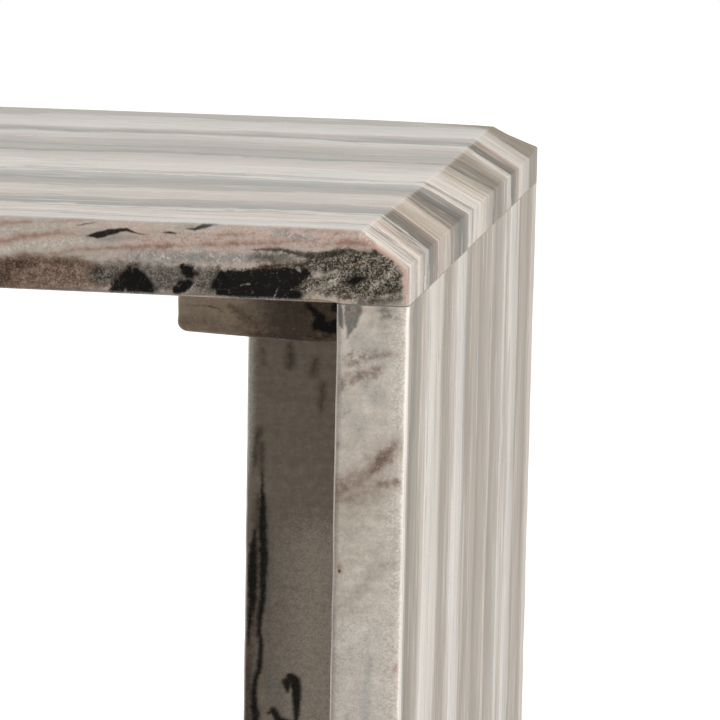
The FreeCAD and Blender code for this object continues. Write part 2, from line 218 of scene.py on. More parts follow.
@dataclass(frozen=True)
class Cloud:
    """Noise of one size in every direction.

    Args:
        size: length of its waves.
        seed: picks the pattern.
        detail: octaves.
        roughness: weight of the octaves.
    """

    size: float
    seed: float
    detail: float
    roughness: float


@dataclass(frozen=True)
class Comb:
    """One way of drawing the bands out into streaks.

    Args:
        streak: its streaks.
        reach: how far it carries a band.
        blend: how one band passes into the next.
        share: how much of it shows over the ones before it.
    """

    streak: Streak
    reach: float
    blend: str
    share: float


@dataclass(frozen=True)
class Veil:
    """Streaks of one or two tones over the bands.

    Args:
        streak: the run of the streaks.
        start: level of the noise, up or down, from which they show.
        full: level at which they are whole.
        covers: tone and share of the high streaks, then of the low ones.
        blend: how they mix with what they cover.
        calmed: whether they keep off the front.
    """

    streak: Streak
    start: float
    full: float
    covers: tuple[tuple[Tone, float], ...]
    blend: str = "MIX"
    calmed: bool = False


@dataclass(frozen=True)
class Lean:
    """Stretch of the depth where the layers lean back down the slope of the slab's end.

    Args:
        start: where the lean begins.
        full: where it is whole.
        fading: where it begins to fade.
        end: where it is over.
        drop: height of the slope.
        reach: how far back the layers are at its foot.
    """

    start: float
    full: float
    fading: float
    end: float
    drop: float
    reach: float


# Stripes: where each one starts, counted back from the front of the slab, and its tone.
Bands = tuple[tuple[float, Tone], ...]
# Patches and lines of each mineral, and of painted light and shade, by points across and down from the
# corner, with half widths.
Marks = dict[Mineral, list[tuple[tuple[float, float, float], ...]]]

WANDER = Streak(360, 80, 0, 2.0)
BENDS = Streak(60, 40, 8, 3.0)
ROSY = Streak(160, 2.6, 9, 3.0)
FINE = (Streak(60, 4.0, 4, 4.0, 0.7), Streak(26, 1.6, 7, 2.0))
FLOW = Streak(60, 5.0, 10)

SUGAR = Cloud(0.7, 9, 2.0, 0.5)
CLOUDS = Cloud(34, 5, 5.0, 0.6)
SPOTS = Cloud(4, 6, 4.0, 0.65)
WARP = Cloud(6, 7, 3.0, 0.6)
FRAYED = Cloud(3.0, 11, 5.0, 0.75)

COMBS = (
    Comb(Streak(120, 12, 1, 5.0, 0.7), 36, "CONSTANT", 1.0),
    Comb(Streak(45, 3.2, 2, 5.0, 0.7), 40, "LINEAR", 0.35),
    Comb(Streak(42, 26, 3, 5.0, 0.7), 110, "EASE", 0.15),
)

LENSES = Veil(Streak(70, 6.0, 6), 0.07, 0.12, ((Tone.ASH, 0.35), (Tone.CHALK, 0.5)), calmed=True)
WARMTH = Veil(Streak(220, 7.0, 3, 3.0), 0.0, 0.2, ((Tone.PETAL, 0.5),), "MULTIPLY")
DASHES = Veil(Streak(24, 2.4, 5, 2.0), 0.12, 0.2, ((Tone.SLATE, 0.4), (Tone.CHALK, 0.4)))

TOP_BANDS: Bands = (
    (0, Tone.CREAM), (0.7, Tone.ROSE), (1.2, Tone.CREAM), (2.4, Tone.BLUSH), (2.9, Tone.CHALK),
    (21, Tone.TAUPE), (24, Tone.CHALK), (33, Tone.ROSE), (40, Tone.CREAM), (47, Tone.ASH),
    (50, Tone.CHALK), (56, Tone.SLATE), (82, Tone.ROSE), (86, Tone.BEIGE), (104, Tone.CREAM),
    (118, Tone.TAUPE), (136, Tone.SLATE), (166, Tone.CHALK), (172, Tone.TAUPE), (179, Tone.CHALK),
    (216, Tone.CREAM), (252, Tone.SLATE), (264, Tone.TAUPE), (282, Tone.ASH), (290, Tone.TAUPE),
    (310, Tone.BEIGE), (324, Tone.CHALK), (336, Tone.SLATE), (350, Tone.TAUPE), (360, Tone.ROSE),
    (366, Tone.CHALK), (418, Tone.TAUPE),
)

# The first stripe lies over the panel's rounded front edges: a painted highlight.
PANEL_BANDS: Bands = (
    (0, Tone.PEARL), (4.5, Tone.BEIGE), (10, Tone.ASH), (24, Tone.TAUPE), (42, Tone.BEIGE),
    (58, Tone.CHALK), (100, Tone.BEIGE), (110, Tone.TAUPE), (130, Tone.BEIGE), (142, Tone.CHALK),
    (179, Tone.MIST), (190, Tone.TAUPE), (206, Tone.BEIGE), (228, Tone.TAUPE), (268, Tone.CREAM),
    (277, Tone.TAUPE), (317, Tone.CHALK), (327, Tone.BEIGE), (346, Tone.CHALK), (375, Tone.TAUPE),
    (387, Tone.BEIGE), (420, Tone.TAUPE), (440, Tone.CREAM),
)

# The first stripe lies over the return's rounded front edges: a painted highlight.
OFFCUT_BANDS: Bands = (
    (0, Tone.CHALK), (5, Tone.BEIGE), (10, Tone.TAUPE), (14, Tone.CREAM), (21, Tone.ASH),
    (26, Tone.BEIGE),
)

TOP_MARKS: Marks = {
    Mineral.PINK: [
        ((-117, -8.5, 2), (-98, -7.3, 4), (-79, -5.8, 4), (-60, -4.6, 4), (-36, -4, 4), (-12, -5, 3)),
        ((-172, -10, 1.5), (-155, -7.5, 2), (-139, -6, 1)),
    ],
    Mineral.MILK_AND_PAINTED_HIGHLIGHT: [
        ((-174, -6.2, 0), (-160, -4.8, 0.2), (-148, -3.4, -0.8)),
        ((-172, -14, 0), (-158, -11.4, 0.4), (-144, -9.4, 0.4), (-132, -8.6, -0.8)),
    ],
    Mineral.PALE: [
        ((-117, -14, 1.5), (-101, -13.4, 2.5), (-86, -13.5, 2.5), (-71, -13, 2.5), (-60, -12, 2)),
        ((-54, -2.3, 1), (-46, -3.2, 1.5), (-40, -3.1, 1)),
    ],
    Mineral.BROWN: [
        ((-173, -24, 7), (-161, -22.5, 7.5), (-149, -22.5, 7.5), (-138, -22.5, 7), (-128, -23, 5)),
    ],
    Mineral.GREY: [
        ((-130, -22.5, 4), (-121, -21, 5), (-105, -23, 6), (-80, -23, 6)),
        ((-64, -12.5, 1.5), (-55, -12.2, 2.5), (-48, -13.6, 1.5)),
        ((-20, -29.4, 2), (-12, -28, 2.5), (-4, -27.5, 1.5)),
    ],
    Mineral.BURNT: [
        ((-173, -27, 3), (-167, -21, 4), (-162, -18.5, 3), (-156, -19.5, 1)),
        ((-152, -18, 0), (-140, -17.5, 1), (-131, -19, 0)),
    ],
    Mineral.BLUE: [
        ((-130, -8.2, 0), (-123, -6.8, 1.6), (-113, -6, 0)),
        ((-97, -1.6, 0), (-90, -0.5, 0.8)),
    ],
    Mineral.SPECKLED: [
        ((-46, -15, 2), (-39, -14, 4), (-29, -13, 5), (-18, -12.5, 5), (-12, -13.5, 5)),
        ((-34, -23, 4.5), (-22, -21, 7.5), (-13, -19.5, 7.5), (-9, -18, 5.5)),
        ((-15, -8.5, 2), (-9, -13, 3.5), (-6.5, -18, 4), (-6.5, -23, 4)),
        ((-48, -27, 2.5), (-42, -24, 4), (-36, -22, 3)),
    ],
    Mineral.TAN: [
        ((-44, -30, 2.5), (-38, -25, 2.5), (-32, -21.5, 1.5), (-28, -19.5, 0)),
        ((-15, -22.5, 0.5), (-9, -17.5, 1.3), (-5, -14, 0.8)),
    ],
    Mineral.RED: [
        ((-174, -3.2, 0.5), (-166, -2.4, 0.6), (-158, -1.8, -0.4)),
        ((-174, -10.6, 0.7), (-164, -8.7, 0.9), (-155, -7, 0.8), (-147, -5.9, 0.5), (-139, -6, -0.5)),
        ((-150, -1.4, -0.6), (-142, -0.5, 0.3), (-136, 0.4, 0.5), (-126, 0.9, -0.4)),
        ((-157, -14.9, -0.6), (-145, -13.7, 0.3), (-140, -12.5, 0.3), (-130, -11.4, 0.4),
         (-122, -11.1, 0.5), (-108, -9.9, 0.9), (-99, -9.2, 0.8), (-92, -9, -0.4)),
        ((-92, -8.9, -0.3), (-84, -8, 0.6), (-79, -8, 0.5), (-74, -7.1, 0.8), (-68, -6.8, 0.2),
         (-60, -6.5, 0.3), (-54, -6.1, 0.6), (-46, -5, -0.5)),
        ((-81, -4, -0.4), (-72, -3.3, 0.5), (-64, -2.9, -0.5)),
        ((-53, -0.3, -0.2), (-40, -0.9, 0.3), (-22, -0.9, -0.4)),
        ((-36, -6.2, -0.2), (-27.7, -4.8, 1.1), (-22, -4.8, 1.3), (-13.5, -6.5, 0)),
    ],
    Mineral.BLACK: [
        ((-116.5, -18.5, 1), (-117, -22, 2.5), (-120, -26, 3.5), (-122, -29, 3)),
        ((-114, -20, 1.5), (-112.5, -24, 4), (-110.5, -27.5, 5)),
        ((-117, -25, 3), (-115, -28, 3)),
        ((-107, -26.7, 1), (-105, -27, 0.5)),
        ((-94, -17.8, 1.5), (-92, -19.3, 2.8), (-90.5, -20.5, 2), (-87.5, -20.6, 0.5)),
        ((-96, -27.6, 2), (-94, -26.1, 2.9), (-91.3, -24.6, 1.9)),
        ((-80, -25, 2.5), (-76, -22.5, 4.5), (-68, -23, 5.5), (-58, -22, 6.5), (-49, -20.5, 5),
         (-42, -18, 2)),
        ((-79, -28, 2), (-62, -27.5, 3), (-46, -27.5, 2.5)),
        ((-28, -21, 0), (-22, -20.4, 1.8), (-17, -18.6, 0)),
    ],
    Mineral.FRINGE: [
        ((-84, -17.6, 0), (-79, -17.2, 0.8)),
        ((-67, -17.6, 0), (-61, -16.2, 0.9), (-54, -15.6, 1), (-44, -14.8, 0.6)),
        ((-117, -17, 0.5), (-113, -17.6, 0.5)),
        ((-123.5, -26, 0.2), (-121, -22.5, 0.8)),
        ((-28.5, -27.8, 0.6), (-23.7, -27.2, 0.8)),
        ((-10, -25, 0.6), (-6, -24, 0.8)),
    ],
    Mineral.VEIN: [
        ((-65.5, -9.3, 0.1), (-63, -9.4, 0.4)),
        ((-62, -9.2, 0.4), (-58, -8.7, 0.9), (-54, -8.9, 0.8), (-48, -10, 1), (-44, -10.4, 1.2),
         (-38, -10.4, 1.4), (-34, -10, 1.4), (-28, -8.7, 1.2), (-23, -7.9, 0.7)),
        ((-19, -9, 0.4), (-12, -9.1, 0.3)),
    ],
    Mineral.LENS: [
        ((-135, -6.7, 0), (-130, -5.8, 1.5), (-124.6, -4.4, 1.3), (-120, -3.3, 0.8), (-117.4, -3.5, 0.6),
         (-112.5, -4.7, 0.2), (-108, -4.7, -0.2)),
        ((-102.8, -3.6, 0), (-99.8, -3.7, 0.5), (-96.8, -3.9, 0.2)),
        ((-92.6, -1.9, 0), (-89, -1.5, 0.6), (-85.5, -0.5, 1), (-83, 0, 0.8), (-80, 0.4, 0.1)),
        ((-139, -2.2, 0), (-136.3, -1.9, 0.2), (-130.3, -0.9, -0.1)),
    ],
    Mineral.GOLD: [
        ((-42.4, -29.6, 0.5), (-37.6, -28.6, 1.2)),
        ((-23.5, -13.7, 0.3), (-20, -12.8, 0.4)),
    ],
    Mineral.FLECK_AND_PAINTED_HIGHLIGHT: [
        ((-138.5, -15.8, -0.2), (-134, -15.8, 0.3), (-128, -16, 0.4), (-124, -15, -0.2)),
        ((-100, -10.7, 0.3), (-97, -10.2, 0.1)),
        ((-78, -11.7, 0.4), (-74, -10.6, 0.5)),
        ((-88.7, -18.4, 0.2), (-87.6, -16.5, 0.3), (-84.2, -16.6, 0)),
        ((-92, -29, 0.2), (-90.1, -25.9, 0.3), (-88.6, -24.4, 0.1)),
        ((-69.4, -24.3, 0), (-66, -23.8, 0.1)),
        ((-54, -25, 0), (-55.6, -29, 0.2), (-58, -30, 0.2)),
        ((-46.2, -16.1, 0.5), (-44.8, -17.8, 0.2)),
        ((-30.5, -17.2, 0.4), (-28.5, -16.8, 0.3)),
        # Painted highlight along the top's lower front edge.
        ((-117, -29.8, 0.4), (-99, -29.8, 0.5), (-82, -29.6, 0.4), (-45, -29.6, 0.3)),
    ],
}

PANEL_MARKS: Marks = {
    Mineral.WEDGE: [
        ((-29.5, -31.5, 1.9), (-28, -35, 1.7), (-27.4, -39.5, 0.6)),
        ((-22.6, -32, 3.6), (-23.4, -38, 2.5), (-25, -44, 0)),
    ],
    Mineral.COOL: [((-15, -172, 12), (-15, -230, 15), (-15, -330, 15))],
    Mineral.BLUE: [((-12.4, -178, 1), (-14.6, -190, 1.5), (-14.4, -205, 2))],
    Mineral.MOSS: [
        ((-4, -137, 1.5), (-9.3, -139, 2), (-15.5, -146, 2), (-20.7, -152, 2), (-26, -157, 2)),
    ],
    # Painted highlight along the panel's rounded right front edge.
    Mineral.MILK_AND_PAINTED_HIGHLIGHT: [((-1.6, -31, 4.8), (-1.6, -330, 4.8))],
    Mineral.MISTY: [
        ((-20, -45, 4), (-12, -51, 4)),
        ((-16, -63, 4), (-9, -70, 3)),
        ((-25, -72, 2), (-20, -82, 2)),
    ],
    Mineral.SMOKE: [
        ((-4, -87, 2), (-9, -93.5, 3.5), (-15, -100, 4), (-22, -105, 4.5), (-30, -109, 4)),
        ((-3, -103.5, 1.5), (-10, -105.5, 2), (-20, -110, 2.5), (-30, -113, 2)),
        ((-27.5, -63.5, 0.5), (-22.5, -60, 1), (-17.5, -58.5, 1), (-12.5, -57.5, 1)),
        ((-26, -53.5, 0), (-21, -53.5, 0.6), (-16, -50.5, 0.4), (-7, -50, -0.4)),
    ],
    Mineral.STAIN: [
        ((-5, -88.5, 1), (-8.5, -92.5, 2.6), (-13, -98.5, 1.4)),
        ((-26.5, -105.5, 1), (-24, -107.5, 0.6)),
        ((-8, -103.5, 0.8), (-10.5, -104.3, 0.5)),
        ((-4.5, -104, 0.6), (-3.5, -103, 0.8)),
        ((-26, -51.5, 0.5), (-23.4, -51, 0.6)),
        ((-24, -55.4, 0.5), (-22.3, -54.4, 0.8), (-20, -54.4, 0.4)),
        ((-18, -51.5, 0.8), (-17, -50.5, 0.6)),
        ((-15.4, -51.7, 0.5), (-11.5, -50.7, 0.3), (-7.5, -50, 0.2)),
        ((-22.4, -61.6, 0.8), (-21.4, -59.7, 1.1), (-19.5, -59.9, 0.9), (-17, -59.2, 0.7)),
        ((-13, -59.2, 0.7), (-12, -57.1, 0.7), (-14.3, -56.2, 0.5)),
        ((-27, -62.7, 0.5), (-26.7, -65.3, 0.5)),
        ((-24.5, -32, 0.6), (-20, -32.6, 0.6)),
    ],
    Mineral.BURNT: [((-6, -90.5, 0.4), (-10, -95.5, 0.8), (-12, -98.6, 0.2))],
    Mineral.RED: [
        ((-28.4, -88.7, 0.5), (-28.4, -90.7, 0.4)),
        ((-26.7, -140, 1), (-26.7, -142, 0.5)),
        ((-2.1, -181.2, 0.5), (-2.4, -183.2, 0.7)),
    ],
    Mineral.GREY: [
        ((-11.6, -31.8, 0.6), (-9, -31.7, 1.2), (-5.2, -31.4, 1.2), (-3, -31.4, 0.8)),
        ((-9.7, -34.6, 0.8), (-6.3, -33.2, 1.4), (-4, -35, 1.6), (-3.6, -37.4, 1)),
    ],
    Mineral.LENS: [((-26.7, -141.9, 0.5), (-26.6, -142.3, 0.4))],
    Mineral.GOLD: [((-17.3, -32, 0.7), (-16.8, -32.2, 0.7))],
}

RETURN_MARKS: Marks = {
    Mineral.BLUE: [
        ((-98.3, -158, 1.5), (-96.5, -189, 2), (-96.8, -214, 1.5), (-96.6, -228, 2)),
        ((-96, -243, 3), (-92.4, -255.7, 4), (-87.2, -263.6, 3)),
        ((-80, -245, 1.5), (-78.5, -258, 1.5)),
    ],
    # Painted bounce light from the floor, lightening the lower part of the return.
    Mineral.PAINTED_BOUNCE_LIGHT: [((-72, -185, 14), (-72, -330, 18))],
    # Painted highlight along the return's rounded left edge.
    Mineral.PAINTED_EDGE_HIGHLIGHT: [((-109.2, -58, 3.6), (-109.2, -135, 2.8), (-109.2, -180, -3.2))],
    Mineral.BURNT: [
        ((-103, -158, 1), (-103.2, -185, 2.4), (-103.6, -205, 2.4), (-104.2, -226, 1.6)),
        ((-105.5, -228, 1.6), (-106.4, -244, 2.6), (-106.3, -254, 2.6), (-106.4, -290, 3),
         (-105, -340, 2)),
        ((-88.2, -85, 1.8), (-88.1, -94, 2.2)),
        ((-75.8, -91, 1.2), (-77.2, -97, 2)),
        ((-72, -103, 1.4), (-72.8, -114, 1.2)),
        ((-102.4, -126, 1.6), (-104.6, -133.6, 2.4), (-104.5, -142, 1.8)),
        ((-101.3, -133, 1.6), (-100.9, -146, 1)),
    ],
    Mineral.STAIN: [((-101.2, -87, 1), (-100.8, -93.3, 0.8))],
    Mineral.SEAM: [
        ((-100.6, -147, 0.2), (-100.5, -155, 0.9), (-100.1, -164, 1.9), (-100, -170, 2), (-99.8, -177, 2),
         (-99.3, -190, 2.1), (-99.7, -208, 1.6), (-101, -218, 1.4), (-101.3, -225, 1.2),
         (-100, -231, 1.3), (-100.8, -242, 1.5), (-102.6, -249, 1.3), (-103.4, -256, 1.6),
         (-102.3, -266, 2), (-103, -290, 1.4), (-104, -320, 0.3)),
        ((-103.9, -175, 0.6), (-104.7, -186, 2), (-105.1, -197, 2.4), (-104.7, -209, 2.1),
         (-105.8, -218, 1.4), (-106.2, -225, 0.8), (-106.3, -231, 0.2)),
        ((-86.8, -253, 1), (-87.2, -249, 2.4), (-85.4, -246.6, 2.6), (-83.4, -248, 2.8),
         (-82.5, -252, 2.6), (-82.3, -259.5, 2), (-82.4, -272, 0.7)),
        ((-96, -264.8, 0.5), (-93.5, -263.3, 1.8), (-90.3, -267.7, 2), (-84.6, -269, 1.5)),
    ],
}

BEARER_MARKS: Marks = {
    Mineral.BROWN: [((-82, -58, 0.5), (-72, -58.6, 1.5), (-60, -59, 1))],
    Mineral.STAIN: [((-90, -46, 1), (-84, -50, 2), (-78, -54, 1))],
    Mineral.SMOKE: [((-112, -54, 3), (-96, -56, 4), (-78, -58, 4))],
    # Painted shade in the bearer's corner by the panel.
    Mineral.PAINTED_CORNER_SHADE: [((-50, -50, 30), (-26, -50, 34))],
    Mineral.VEIN: [((-112, -46.4, -0.2), (-104, -45.6, 0), (-97.3, -46.5, 0.2), (-92, -49, -0.2))],
    Mineral.BLACK: [
        ((-56, -44, 1), (-50, -49, 2), (-52, -52.6, 2), (-45.7, -52.8, 3), (-36, -51, 4)),
        ((-44, -44, 2), (-38, -46, 3)),
        ((-38, -55.7, 2), (-34, -58.6, 3)),
    ],
    Mineral.FRINGE: [((-56, -57, 0.5), (-52, -58, 1), (-46, -57, 0.5))],
}

TOP_LEAN = Lean(start=115, full=165, fading=285, end=330, drop=14, reach=15)

TOP_DRIFTS = (
    Drift(Mineral.PINK, 60, 0.54),
    Drift(Mineral.PALE, 46, 0.57),
    Drift(Mineral.BROWN, 54, 0.60),
    Drift(Mineral.SPECKLED, 50, 0.62),
    Drift(Mineral.BLACK, 38, 0.64),
    Drift(Mineral.RED, 24, 0.66),
)

LEG_DRIFTS = (
    Drift(Mineral.PALE, 40, 0.58),
    Drift(Mineral.BLUE, 44, 0.63),
    Drift(Mineral.STAIN, 30, 0.64),
    Drift(Mineral.RED, 18, 0.69),
    Drift(Mineral.LENS, 52, 0.69),
)


def emptied_tree(holder: bpy.types.Material | bpy.types.World) -> bpy.types.NodeTree:
    """Node tree of a material or world, with nothing in it."""
    holder.use_nodes = True
    holder.node_tree.nodes.clear()
    return holder.node_tree


class ShaderGraph:
    """Short calls that add and link the nodes of one material or node group."""

    def __init__(self, tree: bpy.types.NodeTree) -> None:
        """Work on one node tree."""
        self.tree = tree

    def node(self, kind: str, amounts: Amounts = (), **settings: object) -> bpy.types.Node:
        """Add a node.

        Args:
            kind: type name of the node.
            amounts: what goes into its inputs, in order or by name.
            settings: properties to set on it.

        Returns:
            The new node.
        """
        node = self.tree.nodes.new(kind)
        for name, setting in settings.items():
            setattr(node, name, setting)
        pairs = amounts.items() if isinstance(amounts, dict) else enumerate(amounts)
        for key, amount in pairs:
            self.put(node.inputs[key], amount)
        return node

    def put(self, socket: Socket, amount: object) -> None:
        """Link a socket, or set its value.

        Args:
            socket: input to fill.
            amount: output to link, or a plain value.
        """
        if isinstance(amount, Socket):
            self.tree.links.new(amount, socket)
        else:
            socket.default_value = amount

    def math(self, operation: str, *amounts: Amount) -> Socket:
        """What a Math node gives."""
        return self.node("ShaderNodeMath", amounts, operation=operation).outputs[0]

    def vector(self, operation: str, *amounts: object) -> Socket:
        """Vector that a Vector Math node gives."""
        return self.node("ShaderNodeVectorMath", amounts, operation=operation).outputs[0]

    def measure(self, operation: str, *amounts: object) -> Socket:
        """Number that a Vector Math node gives."""
        return self.node("ShaderNodeVectorMath", amounts, operation=operation).outputs["Value"]

    def scaled(self, vector: Socket, share: Socket) -> Socket:
        """A vector times a number."""
        amounts = {0: vector, "Scale": share}
        return self.node("ShaderNodeVectorMath", amounts, operation="SCALE").outputs[0]

    def combine(self, x: Amount, y: Amount, z: Amount) -> Socket:
        """Vector of three amounts."""
        return self.node("ShaderNodeCombineXYZ", (x, y, z)).outputs[0]

    def even(self, amount: Socket) -> Socket:
        """Vector or grey with one amount three times."""
        return self.combine(amount, amount, amount)

    def split(self, vector: Socket) -> Axes:
        """The three amounts of a vector."""
        return tuple(self.node("ShaderNodeSeparateXYZ", (vector,)).outputs)

    def here(self) -> Socket:
        """Object coordinates of the place that is shaded."""
        return self.node("ShaderNodeTexCoord").outputs["Object"]

    def noise(
        self, place: Socket, seed: Amount, detail: float = 2.0, roughness: float = 0.5
    ) -> bpy.types.Node:
        """Add a Noise Texture whose waves are about one unit of place long.

        Args:
            place: coordinates.
            seed: fourth coordinate, which picks the pattern.
            detail: octaves added to the first.
            roughness: weight of those octaves.

        Returns:
            The node, for its Fac or Color output.
        """
        amounts = {"Vector": place, "W": seed, "Scale": 1.0, "Detail": detail, "Roughness": roughness}
        return self.node("ShaderNodeTexNoise", amounts, noise_dimensions="4D")

    def between(self, amount: Amount, low: float, high: float) -> Socket:
        """Smooth step of an amount: 0 at low and 1 at high, either way round."""
        amounts = {"Value": amount, "From Min": low, "From Max": high}
        return self.node("ShaderNodeMapRange", amounts, interpolation_type="SMOOTHSTEP").outputs[0]

    def mix(self, share: Amount, first: object, second: object, blend: str = "MIX") -> Socket:
        """Mix two colours.

        Args:
            share: how much of the second one.
            first: tone or colour socket.
            second: tone or colour socket.
            blend: blend type.

        Returns:
            The mixed colour.
        """
        node = self.node("ShaderNodeMix", {"Factor": share}, data_type="RGBA", blend_type=blend)
        colour_inputs = [socket for socket in node.inputs if socket.type == "RGBA"]
        for socket, colour in zip(colour_inputs, (first, second)):
            self.put(socket, colour.linear() if isinstance(colour, Tone) else colour)
        return next(socket for socket in node.outputs if socket.type == "RGBA")

    def shaded(self, tint: Socket, value: Socket) -> Socket:
        """A colour made lighter or darker by a value."""
        return self.mix(1.0, tint, self.even(value), "MULTIPLY")

    def most(self, known: Socket | None, value: Socket) -> Socket:
        """The larger of two values, or the second where there is no first yet."""
        return value if known is None else self.math("MAXIMUM", known, value)

    def crystals(self, place: Socket) -> Socket:
        """Random number of each cell of a mosaic whose cells are about one unit of place wide."""
        cells = self.node("ShaderNodeTexVoronoi", {"Vector": place, "Scale": 1.0}, voronoi_dimensions="3D")
        return self.node("ShaderNodeSeparateColor", (cells.outputs["Color"],)).outputs[0]

    def tones(self, share: Socket, stops: list[tuple[float, Tone]], blend: str) -> Socket:
        """Add a colour ramp.

        Args:
            share: place along the ramp.
            stops: place and tone of each stop, the first at 0.
            blend: how the ramp goes from one stop to the next.

        Returns:
            The colour.
        """
        node = self.node("ShaderNodeValToRGB", (share,))
        ramp = node.color_ramp
        ramp.interpolation = blend
        ramp.elements.remove(ramp.elements[1])
        ramp.elements[0].color = stops[0][1].linear()
        for position, tone in stops[1:]:
            ramp.elements.new(position).color = tone.linear()
        return node.outputs[0]

    def bumped(self, strength: float, distance: float, height: Socket) -> Socket:
        """Normal of a surface bumped by a height."""
        amounts = {"Strength": strength, "Distance": distance, "Height": height}
        return self.node("ShaderNodeBump", amounts).outputs[0]

    def show(self, shader: bpy.types.Node) -> None:
        """End a material with a shader."""
        self.node("ShaderNodeOutputMaterial", (shader.outputs[0],))


class MarkSegment:
    """Node group that says how far inside one tapered stretch of a mark a place is."""

    NAME = "mark_segment"
    ENDS = ("Start", "End")

    @classmethod
    def group(cls) -> bpy.types.NodeTree:
        """Make the group on first use.

        Returns:
            The group.
        """
        if cls.NAME in bpy.data.node_groups:
            return bpy.data.node_groups[cls.NAME]
        tree = bpy.data.node_groups.new(cls.NAME, "ShaderNodeTree")
        for name in ("Place", *cls.ENDS):
            tree.interface.new_socket(name, in_out="INPUT", socket_type="NodeSocketVector")
        for name in cls.ENDS:
            tree.interface.new_socket(f"{name} Width", in_out="INPUT", socket_type="NodeSocketFloat")
        tree.interface.new_socket("Inside", in_out="OUTPUT", socket_type="NodeSocketFloat")
        graph = ShaderGraph(tree)
        given = graph.node("NodeGroupInput").outputs
        to_place = graph.vector("SUBTRACT", given["Place"], given["Start"])
        along = graph.vector("SUBTRACT", given["End"], given["Start"])
        reach = graph.measure("DOT_PRODUCT", to_place, along)
        whole = graph.measure("DOT_PRODUCT", along, along)
        beyond_start = graph.math("MAXIMUM", graph.math("DIVIDE", reach, whole), 0.0)
        share = graph.math("MINIMUM", beyond_start, 1.0)
        gap = graph.measure("DISTANCE", to_place, graph.scaled(along, share))
        growth = graph.math("SUBTRACT", given["End Width"], given["Start Width"])
        width = graph.math("MULTIPLY_ADD", growth, share, given["Start Width"])
        graph.node("NodeGroupOutput", {"Inside": graph.math("SUBTRACT", width, gap)})
        return tree

    @classmethod
    def inside(cls, graph: ShaderGraph, level: Socket, *ends: tuple[float, float, float]) -> Socket:
        """How far inside one stretch a place is.

        Args:
            graph: where to add the group.
            level: place in the face.
            ends: across, down and half width at the start and at the end.

        Returns:
            Millimetres, negative outside.
        """
        segment = graph.node("ShaderNodeGroup", node_tree=cls.group())
        graph.put(segment.inputs["Place"], level)
        for name, (across, down, width) in zip(cls.ENDS, ends):
            graph.put(segment.inputs[name], (across, down, 0.0))
            graph.put(segment.inputs[f"{name} Width"], width)
        return segment.outputs[0]


@dataclass(frozen=True)
class StoneFinish:
    """Stone of one slab, in layers that stand parallel to the front.

    Args:
        name: name of the material.
        corner: front, right, upper corner that the layers and marks are counted from.
        depth: size of the slab across its layers.
        bands: start and tone of its stripes, whose starts refer to band_depth.
        seed: picks the run of its streaks and clouds.
        face_tones: the two tones of the clouds in its front and back faces.
        drifts: minerals of the faces outside the view.
        marks: listed minerals, and painted light and shade, in its front face.
        band_depth: depth that the bands were written for.
        wrap: how far the front face's layer reaches back over its edges at the outer end, along
            the lower edge and along the upper edge.
        streak_scale: how long its streaks are.
        specular: how strongly it mirrors.
        rosy_rim: how far back from the front thin rosy lines run.
        fray: how ragged the limit of the front face's layer is.
        contrast: how deep the tones are on the flat top, and on the slopes and sides; the flatter tones on
            the flat top are painted sheen.
        lift: how light they are there as a whole, also part of that painted sheen.
        lean: where its layers lean back down the slope.
    """

    name: str
    corner: tuple[float, float, float]
    depth: float
    bands: Bands
    seed: float
    face_tones: tuple[Tone, Tone]
    drifts: tuple[Drift, ...]
    marks: Marks = field(default_factory=dict)
    band_depth: float = 457.0
    wrap: tuple[float, float, float] = (0.5, 0.5, 0.5)
    streak_scale: float = 1.0
    specular: float = 0.25
    rosy_rim: float = 0.0
    fray: float = 1.0
    contrast: Point = (1.0, 1.0)
    lift: Point = (1.0, 1.0)
    lean: Lean | None = None

    def make(self) -> bpy.types.Material:
        """New material with this finish."""
        material = bpy.data.materials.new(self.name)
        StoneGraph(material, self).build()
        return material


